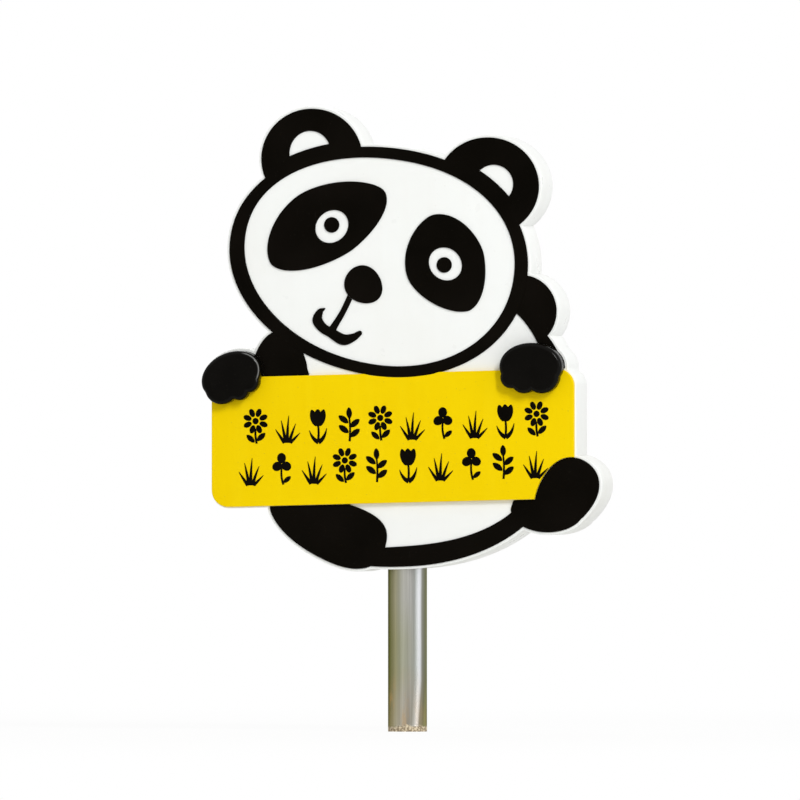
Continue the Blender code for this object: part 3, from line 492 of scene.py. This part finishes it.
def pawGlossMaterial(name, paintedHighlight):
    # Gloss with haze and dust under a clear coat that is worn off the flat front; the one paw also has a
    # painted highlight in grey on its rounded edge.
    look = pawGloss
    material, tree, shader, at = newMaterial(name, Specular_IOR_Level=0.03, Coat_Roughness=0.12)
    behind = addNode(tree, "SeparateXYZ", Vector=at).outputs["Y"]
    low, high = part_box("left_paw")
    flat, rounded = (low.y + depth for depth in look["wornDepth"])
    coat = between(tree, behind, flat, rounded, look["worn"], look["coat"])
    tree.links.new(coat, shader.inputs["Coat Weight"])
    cloud = between(tree, noise(tree, at, look["hazeScale"], 4.0), 0.4, 0.75)
    colour = colourMix(tree, cloud, look["colour"], look["haze"])
    dust = between(tree, noise(tree, at, look["dustScale"], 2.0), 0.72, 0.78)
    colour = colourMix(tree, product(tree, dust, look["dustShare"]), colour, look["dust"])
    # A painted highlight: a grey band on the rounded edge, towards the upper right.
    if paintedHighlight:
        centre = tuple((low + high) / 2)
        centred = addNode(tree, "VectorMath", {"operation": "SUBTRACT"}, i0=at, i1=centre).outputs["Vector"]
        along = addNode(tree, "VectorMath", {"operation": "DOT_PRODUCT"}, i0=centred, i1=look["paintedHighlightWay"])
        start, full, end, gone = (low.y + depth for depth in look["paintedHighlightDepth"])
        band = product(tree, between(tree, behind, start, full), between(tree, behind, end, gone, 1.0, 0.0))
        share = product(tree, band, between(tree, along.outputs["Value"], *look["paintedHighlightReach"]))
        colour = colourMix(tree, share, colour, look["paintedHighlight"])
    roughness = between(tree, noise(tree, at, look["sheenScale"], 5.0), 0.3, 0.75, *look["roughness"])
    normal = bumped(tree, noise(tree, at, look["waveScale"], 2.0), look["wave"])
    finished(tree, shader, colour, roughness, normal)
    return material


yellowSheet = {
    "colour": (0.885, 0.635, 0.0012),
    "deep": (0.835, 0.57, 0.0010),
    "deepScale": 11.0,
    "deepShare": 0.5,
    "pale": (0.905, 0.675, 0.006),
    "paleScale": (70.0, 70.0, 5.0),
    "paleShare": 0.4,
    "grime": (0.42, 0.32, 0.05),
    "grimeScale": 600.0,
    "grimeShare": 0.45,
    "sheenScale": 40.0,
    "roughness": (0.3, 0.46),
    "grainScale": 500.0,
    "grain": 0.000018,
}


def yellowSheetMaterial():
    # Deeper clouds, paler upright runs and specks of grime.
    look = yellowSheet
    material, tree, shader, at = newMaterial("yellowSheet", Specular_IOR_Level=0.02)
    cloud = between(tree, noise(tree, at, look["deepScale"], 5.0), 0.35, 0.7)
    colour = colourMix(tree, product(tree, cloud, look["deepShare"]), look["colour"], look["deep"])
    runs = between(tree, noise(tree, stretched(tree, at, look["paleScale"]), 1.0, 4.0, 0.6), 0.5, 0.8)
    colour = colourMix(tree, product(tree, runs, look["paleShare"]), colour, look["pale"])
    grime = between(tree, noise(tree, at, look["grimeScale"], 2.0), 0.69, 0.76)
    colour = colourMix(tree, product(tree, grime, look["grimeShare"]), colour, look["grime"])
    roughness = between(tree, noise(tree, at, look["sheenScale"], 5.0), 0.3, 0.7, *look["roughness"])
    normal = bumped(tree, noise(tree, at, look["grainScale"], 2.0), look["grain"])
    finished(tree, shader, colour, roughness, normal)
    return material


# The post: a drawn tube with its cut ends broken.
post = {"radius": 0.019, "wall": 0.0015, "edge": 0.0003, "sides": 128, "rings": 40}
postSteel = {
    # Painted reflections across the tube, from left (-1) to right (1), and their colour there: light and
    # dark bands for what the steel mirrors, and a painted highlight about 0.58.
    "reflectionBands": [(-1.0, (0.16, 0.16, 0.075)), (-0.91, (0.19, 0.19, 0.095)), (-0.76, (0.265, 0.25, 0.145)),
              (-0.61, (0.33, 0.31, 0.205)), (-0.46, (0.36, 0.355, 0.275)), (-0.28, (0.41, 0.405, 0.355)),
              (0.0, (0.415, 0.41, 0.38)), (0.17, (0.335, 0.33, 0.31)), (0.33, (0.30, 0.305, 0.285)),
              (0.46, (0.43, 0.445, 0.44)), (0.58, (0.70, 0.71, 0.73)), (0.66, (0.62, 0.63, 0.64)),
              (0.74, (0.25, 0.25, 0.215)), (0.90, (0.22, 0.225, 0.155)), (1.0, (0.31, 0.325, 0.19))],
    "reflectionBandReach": (-0.94, 1.06),     # places across that the first and the last band stand for
    "azimuth": 12.92,               # degrees, the camera's azimuth, which the painted reflection bands face
    "slip": (0.05, 0.18),           # below this height the painted reflection bands lean by up to this much
    "wander": 0.12,
    "wanderScale": (1.0, 1.0, 9.0),
    "streakDark": (0.80, 0.80, 0.78),
    "streakDarkScale": (170.0, 170.0, 2.2),
    "streakBright": (1.16, 1.16, 1.17),
    "streakBrightScale": (620.0, 620.0, 7.0),
    "olive": (0.92, 0.935, 0.80),
    "oliveHeights": (0.03, 0.06, 0.09, 0.13),     # starts, full, full, ends
    "warm": (1.0, 0.93, 0.83),
    "warmHeights": (0.02, 0.065),                 # full below, none above
    "rust": (0.50, 0.30, 0.11),
    "rustScale": (90.0, 90.0, 22.0),
    "soil": (0.30, 0.235, 0.155),
    "sand": (0.70, 0.60, 0.43),
    "sandScale": 420.0,
    "soilEdgeScale": 150.0,
    "soilHeights": (-0.004, -0.002),              # full below, none above, before its edge is made ragged
    "soilRagged": 0.016,
    "soilRise": 0.0006,
    "roughness": (0.26, 0.40),
    "grain": 0.00002,
}


def postSteelMaterial():
    # Bands of painted reflection and a painted highlight across the tube that wander a little, times drawn
    # streaks; olive and warm tints, rust and soil towards the ground.
    look = postSteel
    tint = (0.35, 0.35, 0.28, 1.0)
    material, tree, shader, at = newMaterial("postSteel", Anisotropic=0.3, Specular_Tint=tint)
    height = addNode(tree, "SeparateXYZ", Vector=at).outputs["Z"]
    turn = math.radians(look["azimuth"])
    across = (math.cos(turn) / post["radius"], math.sin(turn) / post["radius"], 0.0)
    share = addNode(tree, "VectorMath", {"operation": "DOT_PRODUCT"}, i0=at, i1=across).outputs["Value"]
    slipTop, slip = look["slip"]
    place = reckoned(tree, "ADD", share, between(tree, height, 0.0, slipTop, slip, 0.0))
    wander = noise(tree, stretched(tree, at, look["wanderScale"]), 1.0, 3.0)
    place = reckoned(tree, "MULTIPLY_ADD", wander, look["wander"], place)
    # The painted reflections and highlight, as a ramp across the tube.
    ramp = addNode(tree, "ValToRGB", Fac=between(tree, place, *look["reflectionBandReach"]))
    stops = ramp.color_ramp.elements
    for number, (spot, colour) in enumerate(look["reflectionBands"]):
        stop = stops[number] if number < 2 else stops.new((spot + 1) / 2)
        stop.position, stop.color = (spot + 1) / 2, (*colour, 1.0)
    broad = noise(tree, stretched(tree, at, look["streakDarkScale"]), 1.0, 3.0, 0.55)
    fine = noise(tree, stretched(tree, at, look["streakBrightScale"]), 1.0, 4.0, 0.6)
    dark = between(tree, broad, 0.35, 0.6, 1.0, 0.0)
    colour = colourMix(tree, dark, ramp.outputs["Color"], look["streakDark"], "MULTIPLY")
    colour = colourMix(tree, between(tree, fine, 0.5, 0.7), colour, look["streakBright"], "MULTIPLY")
    start, full, end, gone = look["oliveHeights"]
    middle = product(tree, between(tree, height, start, full), between(tree, height, end, gone, 1.0, 0.0))
    left = between(tree, share, -0.1, 0.6, 1.0, 0.0)
    colour = colourMix(tree, product(tree, middle, left), colour, look["olive"], "MULTIPLY")
    low = between(tree, height, *look["warmHeights"], 1.0, 0.0)
    colour = colourMix(tree, low, colour, look["warm"], "MULTIPLY")
    patches = noise(tree, stretched(tree, at, look["rustScale"]), 1.0, 5.0, 0.65)
    rust = product(tree, low, between(tree, patches, 0.50, 0.66))
    rust = product(tree, rust, between(tree, share, -0.5, 0.3, 0.75, 0.15))
    colour = colourMix(tree, rust, colour, look["rust"])
    ragged = noise(tree, at, look["soilEdgeScale"], 6.0, 0.7)
    edge = reckoned(tree, "MULTIPLY_ADD", ragged, -look["soilRagged"], height)
    soil = between(tree, edge, *look["soilHeights"], 1.0, 0.0)
    grains = between(tree, noise(tree, at, look["sandScale"], 4.0), 0.46, 0.56)
    colour = colourMix(tree, soil, colour, colourMix(tree, grains, look["soil"], look["sand"]))
    tree.links.new(reckoned(tree, "SUBTRACT", 1.0, soil, clamp=True), shader.inputs["Metallic"])
    drawn = between(tree, fine, 0.3, 0.75, *look["roughness"])
    roughness = reckoned(tree, "ADD", drawn, product(tree, soil, 0.5), clamp=True)
    normal = bumped(tree, fine, look["grain"])
    normal = bumped(tree, product(tree, soil, ragged), look["soilRise"], under=normal)
    finished(tree, shader, colour, roughness, normal)
    return material


def fittingMaterial(name, colour, tarnish, low, high, metallic):
    # Small metal and nylon fittings: a spotted tarnish and a fine grain.
    material, tree, shader, at = newMaterial(name, Metallic=metallic)
    spots = between(tree, noise(tree, at, 180.0, 5.0, 0.65), 0.45, 0.72)
    made = colourMix(tree, spots, colour, tarnish)
    roughness = between(tree, noise(tree, at, 420.0, 4.0), 0.3, 0.75, low, high)
    normal = bumped(tree, noise(tree, at, 1400.0, 3.0), 0.00001)
    finished(tree, shader, made, roughness, normal)
    return material


white = whitePaintMaterial("whitePaint", 0.02)
whiteSide = whitePaintMaterial("whitePaintSide", 0.5)
black = blackSheetMaterial()
gloss = pawGlossMaterial("pawGloss", False)
glossPaintedHighlight = pawGlossMaterial("pawGlossPaintedHighlight", True)
yellow = yellowSheetMaterial()
steel = postSteelMaterial()
bright = fittingMaterial("brightSteel", (0.62, 0.615, 0.60), (0.40, 0.37, 0.32), 0.22, 0.42, 1.0)
zinc = fittingMaterial("zincSteel", (0.50, 0.51, 0.52), (0.66, 0.66, 0.64), 0.34, 0.6, 1.0)
nylon = fittingMaterial("greyNylon", (0.38, 0.38, 0.37), (0.30, 0.29, 0.27), 0.45, 0.62, 0.0)
print("materials ready:", len(bpy.data.materials))


# The box: face plate, the band bent round it and the back panel.
boxSheets = {
    "face_plate": {"material": white, "frontRound": 0.0006, "rearRound": 0.0003},
    "side_band": {"material": whiteSide, "frontRound": 0.0003, "rearRound": 0.0003},
    "back_panel": {"material": white, "frontRound": 0.0003, "rearRound": 0.0004},
}
# The black sheets on the face, the yellow panel, and the paws before it with their packers.
figureSheets = {
    "head_outline": {"grow": 0.00014}, "left_arm": {"grow": 0.00014}, "right_arm": {"grow": 0.00014},
    "legs": {},
    "left_eye_patch": {}, "right_eye_patch": {}, "left_pupil": {}, "right_pupil": {}, "nose": {},
    "mouth": {"rim": 0.00015}, "left_paw_packer": {}, "right_paw_packer": {},
    "message_panel": {"material": yellow, "slot": "yellow_sheet", "frontRound": 0.0006},
    "left_paw": {"material": glossPaintedHighlight, "slot": "gloss_black", "frontRound": pawGloss["rounding"],
                 "rearRound": 0.0004, "steps": 14},
    "right_paw": {"material": gloss, "slot": "gloss_black", "frontRound": pawGloss["rounding"],
                  "rearRound": 0.0004, "steps": 14},
}
# What a sheet has where its recipe says nothing else. Grown sheets leave no seam where two of them meet.
sheet = {"material": black, "slot": "black_sheet", "frontRound": 0.0003, "rearRound": 0.0001, "rim": 0.0002,
         "steps": 5, "grow": 0.0}
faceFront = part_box("face_plate")[0].y
filmLift = 0.00002


def sheetPiece(name, recipe):
    # A cut sheet with rounded edges in place of a CAD node, from the node's own front to its rear or,
    # across the glue line, to the face plate.
    recipe = {**sheet, **recipe}
    low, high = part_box(name)
    rear = high.y if name in boxSheets or "paw" in name else faceFront - filmLift
    rounds = recipe["frontRound"], recipe["rearRound"]
    profile = edgeProfile(low.y, rear, *rounds, recipe["steps"], recipe["rim"])
    profile[:, 0] -= recipe["grow"]
    loops = [smoothLoop(loop, recipe["frontRound"] + recipe["rim"]) for loop in nodeLoops(name)]
    points, faces = plateMesh(loops, profile)
    return newPiece(name + "_fine", points, faces, recipe["material"], [name])


# The rod that cuts the post's hole: 0.4 mm of room round the post, from below the band to its inside.
postHole = {"radius": post["radius"] + 0.0004, "low": 0.10, "high": 0.25, "sides": 96}


def cutPostHole(band):
    # The hole in the band's underside, cut by a rod that is taken away again.
    radii = np.array([0.0, 1.0, 1.0, 0.0])[:, None] * np.full(postHole["sides"], postHole["radius"])
    heights = np.repeat([postHole["low"], postHole["high"]], 2)
    points, faces = turnedMesh(radii, heights)
    rod = bpy.data.objects.new("postHole", weldedMesh("postHole", points, faces))
    bpy.context.scene.collection.objects.link(rod)
    cut = band.modifiers.new("postHole", "BOOLEAN")
    cut.operation, cut.solver, cut.object = "DIFFERENCE", "EXACT", rod
    bpy.context.view_layer.update()
    made = bpy.data.meshes.new_from_object(band.evaluated_get(bpy.context.evaluated_depsgraph_get()))
    band.modifiers.clear()
    band.data = made
    made.set_sharp_from_angle(angle=math.radians(sharpTurn))
    bpy.data.objects.remove(rod)


for name, recipe in boxSheets.items():
    piece = sheetPiece(name, {"slot": "white_paint", **recipe})
    if name == "side_band":
        cutPostHole(piece)
for name, recipe in figureSheets.items():
    sheetPiece(name, recipe)
print("sheets ready")


def postTube():
    # Outside, top, inside and bottom in one closed profile of radius and height, turned round the axis.
    low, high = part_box("post")
    outer, inner, edge = post["radius"], post["radius"] - post["wall"], post["edge"]
    rise = np.linspace(low.z + edge, high.z - edge, post["rings"])
    up = np.stack([np.full(len(rise), outer), rise], axis=1)
    down = np.stack([np.full(len(rise), inner), rise[::-1]], axis=1)
    top = [[outer - edge, high.z], [inner + edge, high.z]]
    bottom = [[inner + edge, low.z], [outer - edge, low.z], [outer, low.z + edge]]
    profile = np.concatenate([up, top, down, bottom])
    radii = np.repeat(profile[:, :1], post["sides"], axis=1)
    points, faces = turnedMesh(radii, profile[:, 1])
    return newPiece("post_tube", points, faces, steel, ["post"])


postTube()


# Button head screws and bolts with a hexagon socket.
fasteners = {
    "screw_": {"shank": 0.002, "head": 0.004, "height": 0.0024, "socket": 0.0025},
    "bolt_": {"shank": 0.003, "head": 0.006, "height": 0.0033, "socket": 0.004},
}
fastener = {
    "sides": 48,
    "edge": 0.0003,         # rounding of the shank's end and of the head's rim
    "rim": 0.2,             # the dome starts at this share of the head's height
    "flat": 1.22,           # the dome's flat top is this many times as wide as half the socket
    "depth": 0.6,           # the socket's depth as a share of the head's height
    "chamfer": 0.0002,
    "cone": 0.0004,         # the drilled point at the socket's bottom
    "bottom": 0.9,          # and how much of the socket it takes
    "rows": 12,
    "sharpAbove": 30.0,
}


def fastenerPiece(name, sizes):
    # One closed profile of radius and height: shank, underside, dome r = R cos t and
    # h = H (rim + (1 - rim) sin t), then the socket, whose radius at angle a is half its width over cos(a)
    # within each sixth of a turn.
    low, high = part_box(name)
    middle = (low + high) / 2
    head, shank, height = sizes["head"], sizes["shank"], sizes["height"]
    seat = high.y - height
    length = seat - low.y
    half = sizes["socket"] / 2
    sides, edge, rim = fastener["sides"], fastener["edge"], fastener["rim"]
    angle = 2 * math.pi * np.arange(sides) / sides
    hexagon = half / np.cos((angle + math.pi / 6) % (math.pi / 3) - math.pi / 6)
    t = np.linspace(0.0, math.acos(half * fastener["flat"] / head), fastener["rows"])
    dome = np.stack([head * np.cos(t), height * (rim + (1 - rim) * np.sin(t))], axis=1)
    top = dome[-1, 1]
    floor = top - fastener["depth"] * height
    rounds = np.concatenate([[[0, -length], [shank - edge, -length], [shank, edge - length], [shank, 0],
                              [head - edge, 0], [head, edge]], dome])
    socket = [(1.0, top - fastener["chamfer"]), (1.0, floor), (fastener["bottom"], floor),
              (0.0, floor - fastener["cone"])]
    radii = [np.repeat(rounds[:, :1], sides, axis=1), [share * hexagon for share, _ in socket]]
    heights = np.concatenate([rounds[:, 1], [rise for _, rise in socket]])
    points, faces = turnedMesh(np.concatenate(radii), heights)
    points = np.stack([middle.x + points[:, 0], seat + points[:, 2], middle.z + points[:, 1]], axis=1)
    faces = [face[::-1] for face in faces]
    return newPiece(name + "_turned", points, faces, bright, [name], fastener["sharpAbove"])


for name in nodes:
    for start, sizes in fasteners.items():
        if name.startswith(start):
            fastenerPiece(name, sizes)
print("post and fasteners ready")


# CAD nodes that stay, with a worked-out finish.
kept = {"spacer_": nylon, "nut_": bright, "backing_plate": zinc, "saddle_": zinc}
for name, node in nodes.items():
    for start, material in kept.items():
        if name.startswith(start):
            for slot in node.material_slots:
                slot.material = material


# Two rows of small flowers and grass on the panel, cut from thin black film. Sizes in millimetres from a
# motif's foot, x to the right and z up. A row's first foot is counted from the panel's centre.
motifs = {
    "rise": 1.45,                     # degrees, as the panel's
    "rows": {
        "motif_row_upper": {"first": (-136.2, -2.1), "pitch": 31.2,
                            "kinds": "daisy tuft tulip sprig daisy tuft clover tuft tulip daisy"},
        "motif_row_lower": {"first": (-142.7, -42.6), "pitch": 31.6,
                            "kinds": "tuft clover tuft daisy sprig tulip tuft clover sprig tuft"},
    },
    "film": 0.0002,
    "lift": 0.00004,
    "frontRound": 0.00004,
    "rearRound": 0.00002,
    "steps": 2,
    "rim": 0.00003,
}


def oval(x, z, long, wide, lean=0.0, tips=0.0, count=40):
    # long cos t along the leaning way and wide sin t |sin t|^tips across it; tips above 0 points the ends.
    t = 2 * math.pi * np.arange(count) / count
    across = wide * np.sin(t) * np.abs(np.sin(t)) ** tips
    along = long * np.cos(t)
    c, s = math.cos(math.radians(lean)), math.sin(math.radians(lean))
    return np.stack([x + along * c - across * s, z + along * s + across * c], axis=1)


def blade(foot, bend, tip, footWidth, tipWidth, count=14):
    # The curve (1-t)^2 foot + 2 t (1-t) bend + t^2 tip, with half its width set off to either side.
    t = np.linspace(0.0, 1.0, count)[:, None]
    foot, bend, tip = (np.array(point, dtype=float) for point in (foot, bend, tip))
    middle = (1 - t) ** 2 * foot + 2 * t * (1 - t) * bend + t ** 2 * tip
    way = 2 * (1 - t) * (bend - foot) + 2 * t * (tip - bend)
    normal = np.stack([way[:, 1], -way[:, 0]], axis=1) / np.hypot(way[:, 0], way[:, 1])[:, None]
    half = (footWidth + (tipWidth - footWidth) * t ** 1.5) / 2
    return np.concatenate([middle + half * normal, (middle - half * normal)[::-1]])


def daisy():
    petals = [oval(8.6 * math.cos(a), 22.0 + 8.6 * math.sin(a), 4.2, 2.7, math.degrees(a))
              for a in 2 * math.pi * (np.arange(8) + 0.5) / 8]
    return [*petals, oval(0, 22.0, 3.1, 3.1), blade((0.6, 0), (-1.2, 9), (0, 14.5), 2.2, 1.8),
            oval(5.2, 6.4, 5.6, 2.7, 42, 0.5), oval(-5.4, 5.0, 5.4, 2.6, 136, 0.5)]


def tulip():
    return [oval(0, 23.5, 8.6, 4.3, 90, 0.25),
            oval(-4.1, 23.6, 8.4, 3.5, 104, 0.3), oval(4.1, 23.6, 8.4, 3.5, 76, 0.3),
            blade((-0.4, 0), (1.0, 9), (0, 17), 2.3, 1.9), blade((0, 0), (6.5, 3), (8.6, 13.5), 4.6, 0.5),
            blade((0, 0), (-6.0, 2.5), (-8.8, 11.5), 4.4, 0.5)]


def tuft():
    return [blade((0, 0), (0.4, 14), (2.2, 26.5), 3.4, 0.5),
            blade((-1.6, 0), (-3.4, 12), (-5.6, 22), 3.4, 0.5),
            blade((1.8, 0), (5.0, 10), (9.0, 18.5), 3.4, 0.5),
            blade((-2.8, 0), (-7.5, 7), (-11.5, 13.5), 3.4, 0.5),
            blade((3.0, 0), (8.5, 5), (13.0, 9.5), 3.2, 0.5)]


def sprig():
    leaves = [oval(side * 5.6, z, 6.0, 2.9, 90 - side * 52, 0.45)
              for z, side in ((8, 1), (12, -1), (17.5, 1), (21.5, -1))]
    return [blade((0, 0), (1.5, 13), (0, 25), 2.2, 1.6), *leaves, oval(0.2, 27.5, 5.6, 2.8, 92, 0.45)]


def clover():
    leaves = [oval(5.3 * math.cos(a), 20.5 + 5.3 * math.sin(a), 5.0, 4.4, math.degrees(a))
              for a in np.radians([90, 210, 330])]
    return [*leaves, blade((1.2, 0), (-1.6, 8), (0, 17), 2.1, 1.8), oval(5.0, 4.8, 4.8, 2.3, 38, 0.45)]


makers = {"daisy": daisy, "tulip": tulip, "tuft": tuft, "sprig": sprig, "clover": clover}


def motifRow(name, row):
    # Every motif's outline, moved to its foot and turned with the panel about the panel's centre.
    c, s = math.cos(math.radians(motifs["rise"])), math.sin(math.radians(motifs["rise"]))
    low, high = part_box("message_panel")
    centre = np.array([low.x + high.x, low.z + high.z]) / 2
    loops = []
    for place, kind in enumerate(row["kinds"].split()):
        foot = 0.001 * (np.array(row["first"]) + [row["pitch"] * place, 0.0])
        for loop in unionOf([0.001 * shape for shape in makers[kind]()]):
            x, z = (loop + foot).T
            loops.append(centre + np.stack([x * c - z * s, x * s + z * c], axis=1))
    rear = low.y - motifs["lift"]
    rounds = motifs["frontRound"], motifs["rearRound"]
    profile = edgeProfile(rear - motifs["film"], rear, *rounds, motifs["steps"], motifs["rim"])
    points, faces = plateMesh(loops, profile)
    return newPiece(name, points, faces, black, ())


for name, row in motifs["rows"].items():
    motifRow(name, row)
print("motifs ready")


# Floor, light and camera.
studio = {
    "floorRadius": 22.0,
    "floorRings": 40,
    "floorSides": 96,
    "floorFade": (0.9, 2.6),     # from the post: the shadow is left as it falls, and gone
    "floorColour": (0.86, 0.86, 0.85, 1.0),
    "floorGlow": 0.93,           # share of the floor's look that is plain white; the rest takes light
    "ambient": 0.56,
    "lamps": {               # each shines on the aim from a distance along its way
        "keyLight": {"shape": "ELLIPSE", "way": (0.70, -1.0, 0.77), "distance": 9.0, "size": (1.05, 3.6),
                     "power": 395.0},
        "sideLight": {"shape": "RECTANGLE", "way": (1.0, -0.35, 0.30), "distance": 4.0, "size": (0.7, 2.3),
                      "power": 16.6},
        "backLight": {"shape": "RECTANGLE", "way": (-0.4, 1.0, 0.8), "distance": 4.0, "size": (1.6, 1.6),
                      "power": 26.0},
    },
    "aim": (-0.0075, 0.0, 0.3231),
    "azimuth": 12.92,
    "distance": 30.0,
    "frameWidth": 0.7798,        # metres across the picture at the aim
    "sensorWidth": 36.0,
    "clipEnd": 100.0,
}


def floorMesh():
    # A disc of rings: point (i, j) at radius R (i / rings)^2 and angle 2 pi j / sides.
    rings, sides = studio["floorRings"], studio["floorSides"]
    radius = studio["floorRadius"] * (np.arange(rings + 1) / rings) ** 2
    return turnedMesh(np.repeat(radius[:, None], sides, axis=1), np.zeros(rings + 1))


def backgroundRays(tree):
    # 1 for rays that show the background: the camera's, and those of gloss and glass.
    path = addNode(tree, "LightPath")
    share = path.outputs["Is Camera Ray"]
    for other in ("Is Glossy Ray", "Is Transmission Ray"):
        share = reckoned(tree, "MAXIMUM", share, path.outputs[other])
    return share


def makeFloor():
    points, faces = floorMesh()
    mesh = weldedMesh("floor", points, [face[::-1] for face in faces])
    material = bpy.data.materials.new("floor")
    material.use_nodes = True
    tree = material.node_tree
    tree.nodes.clear()
    at = addNode(tree, "TexCoord").outputs["Object"]
    away = addNode(tree, "VectorMath", {"operation": "LENGTH"}, i0=at).outputs["Value"]
    glow = between(tree, away, *studio["floorFade"], studio["floorGlow"], 1.0)
    share = product(tree, glow, backgroundRays(tree))
    matte = addNode(tree, "BsdfDiffuse", Color=studio["floorColour"]).outputs[0]
    shine = addNode(tree, "Emission", Color=(1.0, 1.0, 1.0, 1.0), Strength=1.0).outputs[0]
    mixed = addNode(tree, "MixShader", i0=share, i1=matte, i2=shine).outputs[0]
    tree.links.new(mixed, addNode(tree, "OutputMaterial").inputs["Surface"])
    mesh.materials.append(material)
    floor = bpy.data.objects.new("floor", mesh)
    bpy.context.scene.collection.objects.link(floor)
    floor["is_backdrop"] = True


def makeWorld():
    world = bpy.data.worlds.new("studio")
    world.use_nodes = True
    tree = world.node_tree
    tree.nodes.clear()
    light = addNode(tree, "Background", Color=(1.0, 1.0, 1.0, 1.0), Strength=studio["ambient"]).outputs[0]
    shown = addNode(tree, "Background", Color=(1.0, 1.0, 1.0, 1.0), Strength=1.0).outputs[0]
    mixed = addNode(tree, "MixShader", i0=backgroundRays(tree), i1=light, i2=shown).outputs[0]
    tree.links.new(mixed, addNode(tree, "OutputWorld").inputs["Surface"])
    bpy.context.scene.world = world


def makeLight(name, lamp):
    # An area light on the lamp's way from the aim, turned to face the aim.
    way = np.array(lamp["way"]) / np.linalg.norm(lamp["way"])
    data = bpy.data.lights.new(name, "AREA")
    data.shape, data.energy = lamp["shape"], lamp["power"]
    data.size, data.size_y = lamp["size"]
    light = bpy.data.objects.new(name, data)
    light.location = np.array(studio["aim"]) + way * lamp["distance"]
    tilt, turn = math.atan2(math.hypot(way[0], way[1]), way[2]), math.atan2(way[0], -way[1])
    light.rotation_euler = (tilt, 0.0, turn)
    bpy.context.scene.collection.objects.link(light)


def makeCamera():
    # The camera looks level from the azimuth, which is counted from the sign's front to the viewer's right.
    angle = math.radians(studio["azimuth"])
    way = np.array([math.sin(angle), -math.cos(angle), 0.0])
    data = bpy.data.cameras.new("camera")
    data.sensor_width, data.clip_end = studio["sensorWidth"], studio["clipEnd"]
    data.lens = data.sensor_width * studio["distance"] / studio["frameWidth"]
    camera = bpy.data.objects.new("camera", data)
    camera.location = np.array(studio["aim"]) + studio["distance"] * way
    camera.rotation_euler = (math.pi / 2, 0.0, angle)
    bpy.context.scene.collection.objects.link(camera)
    bpy.context.scene.camera = camera


makeFloor()
makeWorld()
for name, lamp in studio["lamps"].items():
    makeLight(name, lamp)
makeCamera()
bpy.context.scene.view_settings.view_transform = "Standard"
bpy.context.view_layer.update()
print("studio ready")

sizes = {"cad": [list(corner) for corner in cadBox], "visual": [list(corner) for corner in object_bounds()]}
